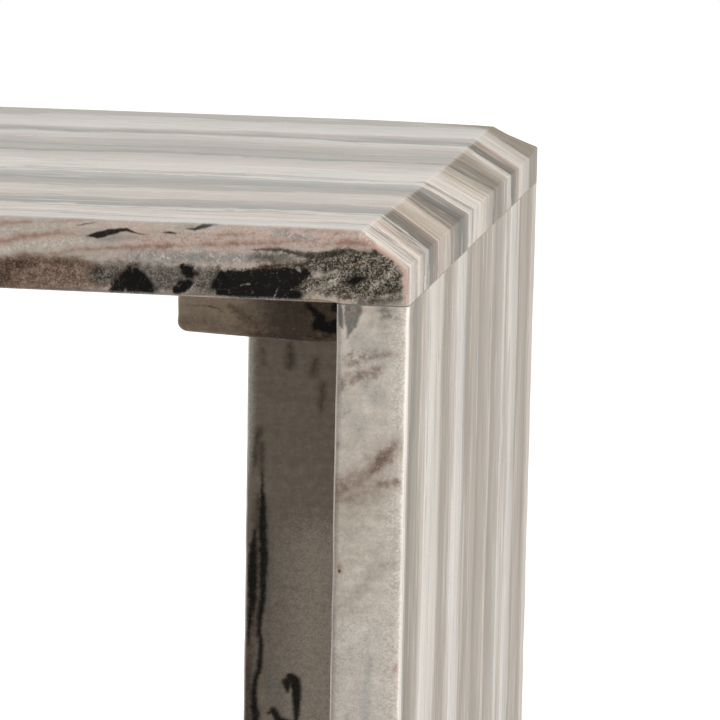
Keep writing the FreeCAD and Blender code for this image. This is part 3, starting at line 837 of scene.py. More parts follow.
class StoneGraph(ShaderGraph):
    """Nodes of one stone finish, which share its place, its crystals and its fine noise."""

    NOISE_MEAN = 0.5
    CRYSTAL = 0.6
    SUGAR_SHADE = 0.24
    CRYSTAL_SHADE = 0.16
    LEAST_SHADE = 0.82
    HONED = 0.5
    SUGAR_GLOSS = 0.2
    POLISH_GLOSS = -0.28
    BUMP = 0.5
    RELIEF = 0.06 * MM

    UPPER_EDGE = (-10.0, -4.0)
    PAST_END = (-14.0, -24.0)
    CRYSTAL_FRAY = 0.4
    SUGAR_FRAY = 1.6
    LEAST_FRAY = -1.0
    FACE_FADE = (1.5, 0.5)
    POLISHED = (-1.0, -0.3)
    END_POLISH = 0.5
    BELOW_TOP = (-0.3, -1.5)

    CALM = 26.0
    BEND_REACH = 28.0
    WANDER_REACH = 44.0
    ROSY_LEVELS = (0.03, 0.12)
    ROSY_FULL = 4.0
    ROSY_SHARE = 0.55
    FINE_SHADE = 0.8
    FINE_MEAN = 1.1
    # Warmer on the flat of the top and cooler below it: part of the top's painted sheen.
    WARMED = (0.012, 0.0, -0.03)
    COOLED = (0.0, 0.012, 0.035)

    CLOUD_LEVELS = (0.35, 0.65)
    FLOW_SHADE = 0.5
    SPOT_SHADE = 0.8
    FACE_MEAN = 0.96
    WARP_REACH = 2.4
    CRYSTAL_GRAIN = 0.55
    SPOT_GRAIN = 1.4
    LEAST_GRAIN = 0.22
    RAGGED_SWING = 4
    DRIFT_SEED = 20
    DRIFT_LENGTH = 2
    DRIFT_DETAIL = 3.0
    REAR = (0.4, 0.6)
    OUT_OF_SIGHT = 1000.0

    def __init__(self, material: bpy.types.Material, finish: StoneFinish) -> None:
        """Start with what all the nodes share.

        Args:
            material: the material to fill.
            finish: what it shows.
        """
        super().__init__(emptied_tree(material))
        self.finish = finish
        shift = tuple(-value for value in finish.corner)
        amounts = {"Vector": self.here(), "Location": shift, "Scale": (1 / MM, 1 / MM, 1 / MM)}
        self.place = self.node("ShaderNodeMapping", amounts).outputs[0]
        self.axes = self.split(self.place)
        self.crystal = self.crystals(self._spread(self.CRYSTAL))
        self.sugar = self._cloud(SUGAR).outputs["Fac"]

    def build(self) -> None:
        """Fill the material."""
        striped = self._striped()
        faced = self._faced()
        tint = self.mix(self._face_share(), striped, faced)
        grain = self.math("MULTIPLY_ADD", self.crystal, self.CRYSTAL_SHADE, self.LEAST_SHADE)
        grain = self.math("MULTIPLY_ADD", self.sugar, self.SUGAR_SHADE, grain)
        honed = self.math("MULTIPLY_ADD", self.sugar, self.SUGAR_GLOSS, self.HONED)
        self.show(self.node("ShaderNodeBsdfPrincipled", {
            "Base Color": self.shaded(tint, grain),
            "Roughness": self.math("MULTIPLY_ADD", self._polish(), self.POLISH_GLOSS, honed),
            "Specular IOR Level": self.finish.specular,
            "Normal": self.bumped(self.BUMP, self.RELIEF, self.sugar),
        }))

    def _face_share(self) -> Socket:
        """1 in the layer of the front and back faces, 0 where a face cuts across the layers.

        Returns:
            The share, with a limit that the crystals and the fine noise fray.
        """
        across, back, down = self.axes
        at_end, at_lower, at_upper = self.finish.wrap
        upper = self.between(down, *self.UPPER_EDGE)
        inner = self.between(across, *self.PAST_END)
        along = self.math("MULTIPLY_ADD", upper, at_upper - at_lower, at_lower - at_end)
        reach = self.math("MULTIPLY_ADD", along, inner, at_end)
        frayed = self.math("MULTIPLY_ADD", self.sugar, self.SUGAR_FRAY, self.LEAST_FRAY)
        frayed = self.math("MULTIPLY_ADD", self.crystal, self.CRYSTAL_FRAY, frayed)
        depth = self.math("MULTIPLY_ADD", frayed, self.finish.fray, self.math("DIVIDE", back, reach))
        front = self.between(depth, *self.FACE_FADE)
        rear = self.between(back, *(self.finish.depth - share * at_end for share in self.FACE_FADE))
        return self.math("MAXIMUM", front, rear)

    def _polish(self) -> Socket:
        """Find where the stone is polished.

        Returns:
            1 on the flat of the table's top, half as much on its outer ends, 0 on the honed rest.
        """
        reach = self.math("ABSOLUTE", self.split(self.here())[0])
        half_width = CAD_BOX[1].x
        outward = self.math("MULTIPLY_ADD", reach, 1 / MM, -half_width / MM)
        ends = self.math("MULTIPLY", self.between(outward, *self.POLISHED), self.END_POLISH)
        return self.math("MAXIMUM", ends, self.between(self.axes[2], *self.POLISHED))

    def _spread(self, size: float) -> Socket:
        """Place counted in units of one size."""
        return self.vector("DIVIDE", self.place, (size, size, size))

    def _cloud(self, cloud: Cloud) -> bpy.types.Node:
        """Noise node of one cloud."""
        seed = self.finish.seed + cloud.seed
        return self.noise(self._spread(cloud.size), seed, cloud.detail, cloud.roughness)

    def _streak(self, axes: Axes, streak: Streak) -> Socket:
        """Draw noise out along the layers.

        Args:
            axes: across, layer and down.
            streak: how it is drawn out.

        Returns:
            The noise, centred on 0 and about 0.2 high and low.
        """
        length = streak.length * self.finish.streak_scale
        sizes = (length, streak.width, length)
        stretched = self.combine(*(self.math("DIVIDE", *pair) for pair in zip(axes, sizes)))
        seed = self.finish.seed + streak.seed
        noise = self.noise(stretched, seed, streak.detail, streak.roughness)
        return self.math("ADD", noise.outputs["Fac"], -self.NOISE_MEAN)

    def _leaned(self) -> Axes:
        """Lean the layers back down the slope, where the slab's layers do.

        Returns:
            Across, layer and down.
        """
        lean = self.finish.lean
        if lean is None:
            return self.axes
        across, back, down = self.axes
        behind = self.between(back, lean.start, lean.full)
        ahead = self.between(back, lean.end, lean.fading)
        share = self.math("MULTIPLY", behind, ahead)
        lowered = self.math("MAXIMUM", down, -lean.drop)
        moved = self.math("MULTIPLY", lowered, lean.reach / lean.drop)
        return across, self.math("MULTIPLY_ADD", share, moved, back), down

    def _striped(self) -> Socket:
        """Colour the layers where a face cuts across them.

        Several looks at the same bands, each combed by streaks of its own, are laid over each other.

        Returns:
            The colour.
        """
        axes = self._leaned()
        back = axes[1]
        band_depth = self.finish.band_depth
        stops = [(start / band_depth, tone) for start, tone in self.finish.bands]
        calm = self.between(back, 0.0, self.CALM)
        bends = self.math("MULTIPLY", self._streak(axes, BENDS), self.BEND_REACH)
        wander = self.math("MULTIPLY_ADD", self._streak(axes, WANDER), self.WANDER_REACH, bends)
        tint = None
        for comb in COMBS:
            streak = self._streak(axes, comb.streak)
            carried = self.math("MULTIPLY_ADD", streak, comb.reach, wander)
            layer = self.math("MULTIPLY_ADD", carried, calm, back)
            look = self.tones(self.math("DIVIDE", layer, band_depth), stops, comb.blend)
            tint = look if tint is None else self.mix(comb.share, tint, look)

        tint = self._veiled(axes, tint, LENSES, calm)
        tint = self._veiled(axes, tint, WARMTH, calm)
        if self.finish.rosy_rim:
            rosy = self.between(self._streak(axes, ROSY), *self.ROSY_LEVELS)
            near = self.between(back, self.finish.rosy_rim, self.ROSY_FULL)
            near = self.math("MULTIPLY", near, self.ROSY_SHARE)
            tint = self.mix(self.math("MULTIPLY", rosy, near), tint, Tone.BLUSH)
        fine = self.math("ADD", *(self._streak(axes, streak) for streak in FINE))
        tint = self.shaded(tint, self.math("MULTIPLY_ADD", fine, self.FINE_SHADE, self.FINE_MEAN))
        # Paint sheen on the flat of the top.
        return self._painted_top_sheen(self._veiled(axes, tint, DASHES, calm))

    def _veiled(self, axes: Axes, tint: Socket, veil: Veil, calm: Socket) -> Socket:
        """Lay streaks over a colour.

        Args:
            axes: across, layer and down.
            tint: the colour.
            veil: the streaks.
            calm: 0 at the front, which some of them keep off.

        Returns:
            The colour with its streaks.
        """
        streak = self._streak(axes, veil.streak)
        if veil.calmed:
            streak = self.math("MULTIPLY", streak, calm)
        for sign, (tone, share) in zip((1, -1), veil.covers):
            shown = self.between(streak, sign * veil.start, sign * veil.full)
            tint = self.mix(self.math("MULTIPLY", shown, share), tint, tone, veil.blend)
        return tint

    def _painted_top_sheen(self, tint: Socket) -> Socket:
        """Paint sheen on the flat of the top: its tones stay flatter and warmer there, and grow deeper and
        cooler below it.

        Args:
            tint: the colour.

        Returns:
            The colour with its painted sheen.
        """
        below = self.between(self.axes[2], *self.BELOW_TOP)
        depth, lift = (
            self.math("MULTIPLY_ADD", below, elsewhere - on_top, on_top)
            for on_top, elsewhere in (self.finish.contrast, self.finish.lift)
        )
        deep = self.node("ShaderNodeGamma", {"Color": tint, "Gamma": depth})
        hue = [
            self.math("MULTIPLY_ADD", below, cool - warm, self.math("ADD", lift, warm))
            for warm, cool in zip(self.WARMED, self.COOLED)
        ]
        return self.mix(1.0, deep.outputs[0], self.combine(*hue), "MULTIPLY")

    def _faced(self) -> Socket:
        """Colour the front and back faces, which lie within one layer.

        Returns:
            The colour.
        """
        across, back, down = self.axes
        clouds = self._cloud(CLOUDS).outputs["Fac"]
        tint = self.mix(self.between(clouds, *self.CLOUD_LEVELS), *self.finish.face_tones)
        flow = self._streak((across, down, back), FLOW)
        spots = self.math("ADD", self._cloud(SPOTS).outputs["Fac"], -self.NOISE_MEAN)
        value = self.math("MULTIPLY_ADD", spots, self.SPOT_SHADE, self.FACE_MEAN)
        tint = self.shaded(tint, self.math("MULTIPLY_ADD", flow, self.FLOW_SHADE, value))

        warp = self._cloud(WARP).outputs["Color"]
        reach = self.WARP_REACH
        shift = self.vector("MULTIPLY_ADD", warp, (reach, reach, 0.0), (-reach / 2, -reach / 2, 0.0))
        level = self.vector("ADD", self.combine(across, down, 0.0), shift)
        frayed = self._cloud(FRAYED).outputs["Fac"]
        mixed = self.math("MULTIPLY_ADD", spots, self.SPOT_GRAIN, self.LEAST_GRAIN)
        mixed = self.math("MULTIPLY_ADD", self.crystal, self.CRYSTAL_GRAIN, mixed)
        # Some of these minerals are painted highlights, painted bounce light and painted shade.
        for mineral in Mineral:
            inside = self._inside(level, mineral)
            if inside:
                look = mineral.value
                swing = self.RAGGED_SWING * look.ragged
                broken = self.math("MULTIPLY_ADD", frayed, swing, -swing / 2)
                broken = self.math("ADD", inside, broken)
                dithered = self.math("MULTIPLY_ADD", self.crystal, look.ragged, broken)
                least = (look.ragged - look.edge) / 2
                covered = self.between(dithered, least, least + look.edge)
                steps = len(look.grains) - 1
                stops = [(step / steps, tone) for step, tone in enumerate(look.grains)]
                share = self.math("MULTIPLY", covered, look.strength)
                tint = self.mix(share, tint, self.tones(mixed, stops, "LINEAR"))
        return tint

    def _inside(self, level: Socket, mineral: Mineral) -> Socket | None:
        """Find how far inside a mineral a place is.

        Args:
            level: place in the face, slightly warped.
            mineral: the mineral.

        Returns:
            Millimetres, negative outside, or nothing if the slab has none of the mineral.
        """
        finish = self.finish
        union = None
        for line in finish.marks.get(mineral, ()):
            for start, end in zip(line, line[1:]):
                union = self.most(union, MarkSegment.inside(self, level, start, end))
        for drift in finish.drifts:
            if drift.mineral is mineral:
                sizes = (self.DRIFT_LENGTH * drift.wave, drift.wave, drift.wave)
                spread = self.vector("DIVIDE", self.place, sizes)
                seed = finish.seed + self.DRIFT_SEED + drift.wave
                noise = self.noise(spread, seed, self.DRIFT_DETAIL).outputs["Fac"]
                inside = self.math("MULTIPLY_ADD", noise, drift.wave, -drift.least * drift.wave)
                if finish.marks:
                    rear = self.between(self.axes[1], *(share * finish.depth for share in self.REAR))
                    hidden = self.math("MULTIPLY_ADD", rear, self.OUT_OF_SIGHT, -self.OUT_OF_SIGHT)
                    inside = self.math("ADD", inside, hidden)
                union = self.most(union, inside)
        return union


@dataclass(frozen=True)
class FittingFinish:
    """Finish of the resin, the steel pins or the felt: two tones mixed by a drawn-out noise.

    Args:
        name: name of the material.
        tones: the two tones.
        waves: length of the noise along X, Y and Z.
        roughness: lowest and highest roughness.
        metallic: 1 for bare metal.
        sheen: fuzz of felt.
        relief: height of the bump.
        grimed: distances from the front between which the second tone comes in.
    """

    name: str
    tones: tuple[Tone, Tone]
    waves: tuple[float, float, float]
    roughness: Point
    metallic: float = 0.0
    sheen: float = 0.0
    relief: float = 0.02
    grimed: Point | None = None

    DETAIL = 3.0
    WEIGHT = 0.6
    LEVELS = (0.3, 0.7)
    BUMP = 0.6

    def make(self) -> bpy.types.Material:
        """Build the material.

        Returns:
            The new material.
        """
        material = bpy.data.materials.new(self.name)
        graph = ShaderGraph(emptied_tree(material))
        coordinates = graph.here()
        stretch = tuple(1 / (wave * MM) for wave in self.waves)
        place = graph.vector("MULTIPLY", coordinates, stretch)
        noise = graph.noise(place, 0.0, self.DETAIL, self.WEIGHT).outputs["Fac"]
        share = graph.between(noise, *self.LEVELS)
        if self.grimed:
            back = graph.split(coordinates)[1]
            near, far = (CAD_BOX[0].y + distance * MM for distance in self.grimed)
            share = graph.math("MULTIPLY", share, graph.between(back, near, far))
        low, high = self.roughness
        graph.show(graph.node("ShaderNodeBsdfPrincipled", {
            "Base Color": graph.mix(share, *self.tones),
            "Roughness": graph.math("MULTIPLY_ADD", noise, high - low, low),
            "Metallic": self.metallic,
            "Sheen Weight": self.sheen,
            "Normal": graph.bumped(self.BUMP, self.relief * MM, noise),
        }))
        return material


class EaseStyle(Enum):
    """How an edge is taken off."""

    ROUND = "round"
    BEVEL = "bevel"


@dataclass(frozen=True)
class Ease:
    """Edge between one side of a slab and its end.

    Args:
        size: how much is taken off.
        style: how it is taken off.
    """

    size: float = 0.0
    style: EaseStyle = EaseStyle.BEVEL

    ARC_STEPS = 7

    def inset(self, distance: float) -> float:
        """Find how far the side is drawn in.

        Args:
            distance: from the end.

        Returns:
            The inset.
        """
        short = max(self.size - distance, 0.0)
        if self.style is EaseStyle.BEVEL:
            return short
        return self.size - math.sqrt(self.size**2 - short**2)

    def stations(self) -> list[float]:
        """Find where the edge needs a ring.

        Returns:
            Distances from the end.
        """
        if self.style is EaseStyle.BEVEL:
            return [0.0, self.size]
        steps = range(self.ARC_STEPS + 1)
        return [self.size * (1 - math.cos(math.pi / 2 * step / self.ARC_STEPS)) for step in steps]


class Axis(Enum):
    """Direction that a slab's outline is drawn out along."""

    BACK = "back"
    UP = "up"

    def point(self, across: float, over: float, along: float) -> Vector:
        """Point in the table's frame of a place in the outline and along the axis."""
        if self is Axis.BACK:
            return Vector((across, along, over))
        return Vector((across, over, along))


@dataclass
class EasedPrism:
    """Closed slab: a convex outline drawn out along an axis, with rounded corners and eased ends.

    Args:
        axis: direction of the length.
        outline: corners in order, anticlockwise.
        radii: radius of each corner.
        near: place of the near end, and far: of the far end.
        near_eases: edge of each side at the near end, and far_eases: at the far end.
        cell: size of the mesh along the faces.
    """

    axis: Axis
    outline: list[Point]
    radii: list[float]
    near: float
    far: float
    near_eases: list[Ease]
    far_eases: list[Ease]
    cell: float

    DIGITS = 9
    CORNER_STEPS = 6
    LEAST_RADIUS = 0.15 * MM
    WORN_RADIUS = 0.8 * MM

    def mesh(self, name: str) -> bpy.types.Mesh:
        """Build the mesh, with an attribute that says where its edges wear.

        Args:
            name: name of the mesh.

        Returns:
            The new mesh.
        """
        work = bmesh.new()
        wear_layer = work.verts.layers.float.new(WornEdges.ATTRIBUTE)
        rings = []
        for along, insets in self._stations():
            ring = []
            at_end = along in (self.near, self.far)
            for place, wear in self._ring(insets):
                vertex = work.verts.new(self.axis.point(*place, along))
                vertex[wear_layer] = 0.0 if at_end else wear
                ring.append(vertex)
            rings.append(ring)
        for ring, following in zip(rings, rings[1:]):
            for index, vertex in enumerate(ring):
                work.faces.new((ring[index - 1], vertex, following[index], following[index - 1]))
        work.faces.new(rings[0])
        work.faces.new(rings[-1])
        bmesh.ops.recalc_face_normals(work, faces=work.faces)
        mesh = bpy.data.meshes.new(name)
        work.to_mesh(mesh)
        work.free()
        return mesh

    def _stations(self) -> list[tuple[float, list[float]]]:
        """Find the places along the axis that need a ring.

        Returns:
            The places, each with the inset of every side there.
        """
        near_steps, far_steps = (
            {round(step, self.DIGITS) for ease in eases for step in ease.stations()}
            for eases in (self.near_eases, self.far_eases)
        )
        length = self.far - self.near
        first, last = max(near_steps), length - max(far_steps)
        cells = max(1, round((last - first) / self.cell))
        middle = [first + (last - first) * step / cells for step in range(1, cells)]
        places = sorted(near_steps) + middle + sorted(length - step for step in far_steps)
        return [
            (
                self.near + place,
                [
                    near.inset(place) + far.inset(length - place)
                    for near, far in zip(self.near_eases, self.far_eases)
                ],
            )
            for place in places
        ]

    def _ring(self, insets: list[float]) -> list[tuple[Point, float]]:
        """Go round the outline with its sides drawn in.

        Args:
            insets: how far each side is drawn in.

        Returns:
            The points, each with its share of wear.
        """
        count = len(self.outline)
        corners = [Vector(corner) for corner in self.outline]
        inward = []
        for index in range(count):
            run = (corners[(index + 1) % count] - corners[index]).normalized()
            inward.append(Vector((-run.y, run.x)))
        arcs = []
        for index in range(count):
            before = index - 1
            pulled = max(insets[index], insets[before])
            radius = max(self.radii[index] - pulled, self.LEAST_RADIUS)
            system = Matrix((inward[before], inward[index]))
            levels = Vector((
                inward[before].dot(corners[index]) + insets[before] + radius,
                inward[index].dot(corners[index]) + insets[index] + radius,
            ))
            middle = system.inverted() @ levels
            turn = inward[before].angle_signed(inward[index])
            worn = 1.0 if max(pulled, self.radii[index]) > self.WORN_RADIUS else 0.0
            arc = []
            for step in range(self.CORNER_STEPS + 1):
                spin = Matrix.Rotation(-turn * step / self.CORNER_STEPS, 2)
                arc.append((tuple(middle - radius * (spin @ inward[before])), worn))
            arcs.append(arc)
        ring = []
        for index, arc in enumerate(arcs):
            following = arcs[(index + 1) % count]
            start, end = Vector(arc[-1][0]), Vector(following[0][0])
            side = (corners[(index + 1) % count] - corners[index]).length
            cells = max(1, round(side / self.cell))
            worn = 1.0 if insets[index] > 0 else 0.0
            ring += arc
            ring += [(tuple(start.lerp(end, step / cells)), worn) for step in range(1, cells)]
        return ring


class NodesTree:
    """Geometry Nodes tree with named inputs, and its use on an object."""

    def __init__(self, name: str, inputs: tuple[tuple[str, str], ...]) -> None:
        """Start a tree.

        Args:
            name: name of the tree.
            inputs: name and socket type of each input after the geometry.
        """
        self.tree = bpy.data.node_groups.new(name, "GeometryNodeTree")
        face = self.tree.interface
        face.new_socket("Geometry", in_out="INPUT", socket_type="NodeSocketGeometry")
        for label, kind in inputs:
            face.new_socket(label, in_out="INPUT", socket_type=kind)
        face.new_socket("Geometry", in_out="OUTPUT", socket_type="NodeSocketGeometry")
        self.graph = ShaderGraph(self.tree)
        self.given = self.graph.node("NodeGroupInput").outputs

    def close(self, geometry: Socket) -> None:
        """End the tree: make instances real, set the material and put the result out.

        Args:
            geometry: what the tree made.
        """
        real = self.graph.node("GeometryNodeRealizeInstances", (geometry,)).outputs[0]
        amounts = {"Geometry": real, "Material": self.given["Material"]}
        dressed = self.graph.node("GeometryNodeSetMaterial", amounts).outputs[0]
        self.graph.node("NodeGroupOutput", (dressed,))

    def moved(self, geometry: Socket, **amounts: Socket) -> Socket:
        """Geometry with each point at a new position or offset."""
        amounts = {"Geometry": geometry, **amounts}
        return self.graph.node("GeometryNodeSetPosition", amounts).outputs[0]

    def spread(self) -> Socket:
        """Position of each point in units of the tree's wave."""
        place = self.graph.node("GeometryNodeInputPosition").outputs[0]
        return self.graph.vector("DIVIDE", place, self.graph.even(self.given["Wave"]))

    def apply(self, piece: bpy.types.Object, amounts: dict[str, object]) -> None:
        """Run the tree on an object and keep the result as its mesh.

        Args:
            piece: object to change.
            amounts: value of each named input.
        """
        modifier = piece.modifiers.new(self.tree.name, "NODES")
        modifier.node_group = self.tree
        for item in self.tree.interface.items_tree:
            if item.in_out == "INPUT" and item.name in amounts:
                modifier[item.identifier] = amounts[item.name]
        keep_result(piece)


def keep_result(piece: bpy.types.Object) -> None:
    """Turn what the modifiers of an object give into its plain mesh.

    Args:
        piece: the object.
    """
    bpy.context.view_layer.update()
    graph = bpy.context.evaluated_depsgraph_get()
    mesh = bpy.data.meshes.new_from_object(
        piece.evaluated_get(graph), preserve_all_data_layers=True, depsgraph=graph
    )
    piece.modifiers.clear()
    piece.data = mesh


class WornEdges(NodesTree):
    """Tree that draws the eased edges of a slab in unevenly, as hand finishing leaves them."""

    ATTRIBUTE = "wear"
    DETAIL = 3.0
    HOLLOWS = (0.4, 0.75)

    def __init__(self) -> None:
        """Build the tree."""
        super().__init__("worn_edges", (
            ("Depth", "NodeSocketFloat"),
            ("Wave", "NodeSocketFloat"),
            ("Seed", "NodeSocketFloat"),
            ("Material", "NodeSocketMaterial"),
        ))
        graph = self.graph
        noise = graph.noise(self.spread(), self.given["Seed"], self.DETAIL)
        hollow = graph.between(noise.outputs[0], *self.HOLLOWS)
        wear = graph.node("GeometryNodeInputNamedAttribute", {"Name": self.ATTRIBUTE}, data_type="FLOAT")
        share = graph.math("MULTIPLY", hollow, wear.outputs["Attribute"])
        depth = graph.math("MULTIPLY", share, graph.math("MULTIPLY", self.given["Depth"], -1.0))
        normal = graph.node("GeometryNodeInputNormal").outputs[0]
        self.close(self.moved(self.given["Geometry"], Offset=graph.scaled(normal, depth)))


class FeltDiscs(NodesTree):
    """Tree that stamps a felt disc, soft at its rims and frayed round its side, at each point."""

    ROUND_SEGMENTS = 96
    SIDE_SEGMENTS = 10
    FILL_SEGMENTS = 5
    RIM_POWER = 4.0
    DETAIL = 3.0

    def __init__(self) -> None:
        """Build the tree."""
        super().__init__("felt_discs", (
            ("Radius", "NodeSocketFloat"),
            ("Height", "NodeSocketFloat"),
            ("Softness", "NodeSocketFloat"),
            ("Fray", "NodeSocketFloat"),
            ("Wave", "NodeSocketFloat"),
            ("Material", "NodeSocketMaterial"),
        ))
        disc = self.graph.node("GeometryNodeMeshCylinder", {
            "Vertices": self.ROUND_SEGMENTS,
            "Side Segments": self.SIDE_SEGMENTS,
            "Fill Segments": self.FILL_SEGMENTS,
            "Radius": self.given["Radius"],
            "Depth": self.given["Height"],
        }, fill_type="TRIANGLE_FAN")
        soft = self._softened(disc.outputs["Mesh"])
        amounts = {"Points": self.given["Geometry"], "Instance": soft}
        stamped = self.graph.node("GeometryNodeInstanceOnPoints", amounts).outputs[0]
        real = self.graph.node("GeometryNodeRealizeInstances", (stamped,)).outputs[0]
        self.close(self._frayed(real))

    def _softened(self, disc: Socket) -> Socket:
        """Draw the rims of the disc in, more and more towards its flat faces.

        Args:
            disc: the plain disc.

        Returns:
            The soft disc.
        """
        graph = self.graph
        across, back, up = graph.split(graph.node("GeometryNodeInputPosition").outputs[0])
        level = graph.math("DIVIDE", graph.math("MULTIPLY", up, 2.0), self.given["Height"])
        rim = graph.math("POWER", graph.math("ABSOLUTE", level), self.RIM_POWER)
        scale = graph.math("SUBTRACT", 1.0, graph.math("MULTIPLY", rim, self.given["Softness"]))
        drawn = (graph.math("MULTIPLY", amount, scale) for amount in (across, back))
        return self.moved(disc, Position=graph.combine(*drawn, up))

    def _frayed(self, discs: Socket) -> Socket:
        """Press the sides of the discs in unevenly.

        Args:
            discs: the stamped discs.

        Returns:
            The frayed discs.
        """
        graph = self.graph
        amounts = {"Vector": self.spread(), "Scale": 1.0, "Detail": self.DETAIL}
        noise = graph.node("ShaderNodeTexNoise", amounts).outputs[0]
        depth = graph.math("MULTIPLY", graph.math("MULTIPLY", noise, self.given["Fray"]), -1.0)
        normal = graph.node("GeometryNodeInputNormal").outputs[0]
        sideways = graph.vector("MULTIPLY", normal, (1.0, 1.0, 0.0))
        return self.moved(discs, Offset=graph.scaled(sideways, depth))


def new_piece(name: str, data: bpy.types.ID) -> bpy.types.Object:
    """Object at the origin with a mesh, a lamp or a camera, in the scene."""
    piece = bpy.data.objects.new(name, data)
    bpy.context.scene.collection.objects.link(piece)
    return piece


def smooth(piece: bpy.types.Object) -> None:
    """Shade a slab smooth over its eased edges and flat over its faces.

    Args:
        piece: the slab, whose mesh is replaced.
    """
    sharp_angle = math.radians(32)
    full_weight = 100
    for polygon in piece.data.polygons:
        polygon.use_smooth = True
    piece.data.set_sharp_from_angle(angle=sharp_angle)
    weighted = piece.modifiers.new("weighted", "WEIGHTED_NORMAL")
    weighted.keep_sharp = True
    weighted.weight = full_weight
    keep_result(piece)


@dataclass
class Slab:
    """One slab of stone that stands for a node of the frame.

    Args:
        node: the node.
        prism: its shape.
        finish: its stone.
        wear_depth: how far its eased edges are worn.
        wear_wave: length of the waves of that wear.
    """

    node: str
    prism: EasedPrism
    finish: StoneFinish
    wear_depth: float = 0.35 * MM
    wear_wave: float = 22 * MM

    def build(self, worn: WornEdges) -> bpy.types.Object:
        """Make the slab and put it in place of its node.

        Args:
            worn: tree that wears its edges.

        Returns:
            The piece.
        """
        piece = new_piece(f"{self.node}_stone", self.prism.mesh(self.node))
        self.shape(piece.data)
        worn.apply(piece, {
            "Depth": self.wear_depth,
            "Wave": self.wear_wave,
            "Seed": self.finish.seed,
            "Material": self.finish.make(),
        })
        smooth(piece)
        self.dress(piece.data)
        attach(piece, BODY)
        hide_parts(self.node)
        log.info("%s: %d faces", piece.name, len(piece.data.polygons))
        return piece

    def shape(self, mesh: bpy.types.Mesh) -> None:
        """Change the plain prism where the slab needs it."""

    def dress(self, mesh: bpy.types.Mesh) -> None:
        """Give some faces another finish where the slab needs it."""


def eased_share(value: float, start: float, end: float) -> float:
    """Smooth step: 0 at start and 1 at end."""
    share = min(max((value - start) / (end - start), 0.0), 1.0)
    return share * share * (3 - 2 * share)


@dataclass(kw_only=True)
class TopSlab(Slab):
    """Top slab, whose lower bevel stops where the side panels carry it.

    The slope at its right end was cut by hand: towards the back it is wider and its lower edge
    turns up, and the back corner is rubbed down.

    Args:
        bevel: its lower bevel.
        slope_run: width of the slope.
        slope_drop: height of the slope.
        bearing: reach of the side panels under it.
        widened: how much wider the slope is at the back.
        widening: share of the depth from which it widens.
        turned_up: how far the lower edge of the slope turns up at the back.
        turned_length: length over which it turns up.
        rubbed: how far the back corner is rubbed down.
        cut_reach: how far in from the slope the cut moves the top, in widths of the slope.
        rubbed_reach: how far in from the end the rubbed corner goes, in widths of the slope.
        honed_specular: how strongly its honed faces mirror.
        honed_angle: how far a honed face may turn from straight forwards, back or down.
    """

    bevel: float
    slope_run: float
    slope_drop: float
    bearing: float = 30 * MM
    widened: float = 3.6 * MM
    widening: float = 0.4
    turned_up: float = 2.4 * MM
    turned_length: float = 42 * MM
    rubbed: float = 1.3 * MM
    cut_reach: float = 2
    rubbed_reach: float = 5
    honed_specular: float = 0.06
    honed_angle: float = math.radians(40)

    BEVEL_MARGIN = 1.01

    def shape(self, mesh: bpy.types.Mesh) -> None:
        """Take the bevel away over the side panels and hand-cut the right slope.

        Args:
            mesh: the plain prism, which is changed.
        """
        low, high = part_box(self.node)
        for vertex in mesh.vertices:
            is_low = vertex.co.z < low.z + self.bevel * self.BEVEL_MARGIN
            over_panel = abs(vertex.co.x) > high.x - self.bearing
            if is_low and over_panel:
                vertex.co.z = low.z
            self._hand_cut(vertex.co, low, high)

    def dress(self, mesh: bpy.types.Mesh) -> None:
        """Hone the faces that aren't polished: in front, behind and below.

        Args:
            mesh: the slab, which is changed.
        """
        honed = replace(self.finish, name=f"{self.finish.name}_honed", specular=self.honed_specular)
        mesh.materials.append(honed.make())
        steep = math.cos(self.honed_angle)
        for polygon in mesh.polygons:
            if abs(polygon.normal.y) > steep or polygon.normal.z < -steep:
                polygon.material_index = 1

    def _hand_cut(self, place: Vector, low: Vector, high: Vector) -> None:
        """Move one point of the right end to where the hand-cut slope has it.

        Args:
            place: the point, which is moved.
            low: lowest corner of the slab.
            high: highest corner of the slab.
        """
        shoulder = high.z - self.slope_drop
        crest = high.x - self.slope_run
        height = eased_share(place.z, shoulder, high.z)
        level = min(max((place.z - shoulder) / self.slope_drop, 0.0), 1.0)
        to_back = eased_share(place.y, low.y + self.widening * (high.y - low.y), high.y)
        at_back = eased_share(place.y, high.y - self.turned_length, high.y)
        near_end = eased_share(place.x, crest - self.cut_reach * self.slope_run, crest)
        under_slope = eased_share(place.z, shoulder - self.slope_drop / 2, shoulder)
        at_edge = eased_share(place.x, crest, high.x) * under_slope
        far_right = eased_share(place.x, high.x - self.rubbed_reach * self.slope_run, high.x)
        place.x -= self.widened * level * to_back * near_end
        place.z += self.turned_up * at_edge * (1 - level) * at_back
        place.z -= self.rubbed * height * at_back * far_right


@dataclass
class BearerSlab(Slab):
    """Bearer, an offcut whose underside slants up towards its free end.

    Args:
        slant: rise of the underside at the free end.
        level: share of its length that stays level.
    """

    slant: float = 2.0 * MM
    level: float = 0.3

    def shape(self, mesh: bpy.types.Mesh) -> None:
        """Slant the underside.

        Args:
            mesh: the plain prism, which is changed.
        """
        low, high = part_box(self.node)
        joined = low.x if abs(low.x) > abs(high.x) else high.x
        length = high.x - low.x
        for vertex in mesh.vertices:
            out = eased_share(abs(vertex.co.x - joined), self.level * length, length)
            below = (high.z - vertex.co.z) / (high.z - low.z)
            vertex.co.z += self.slant * out * below


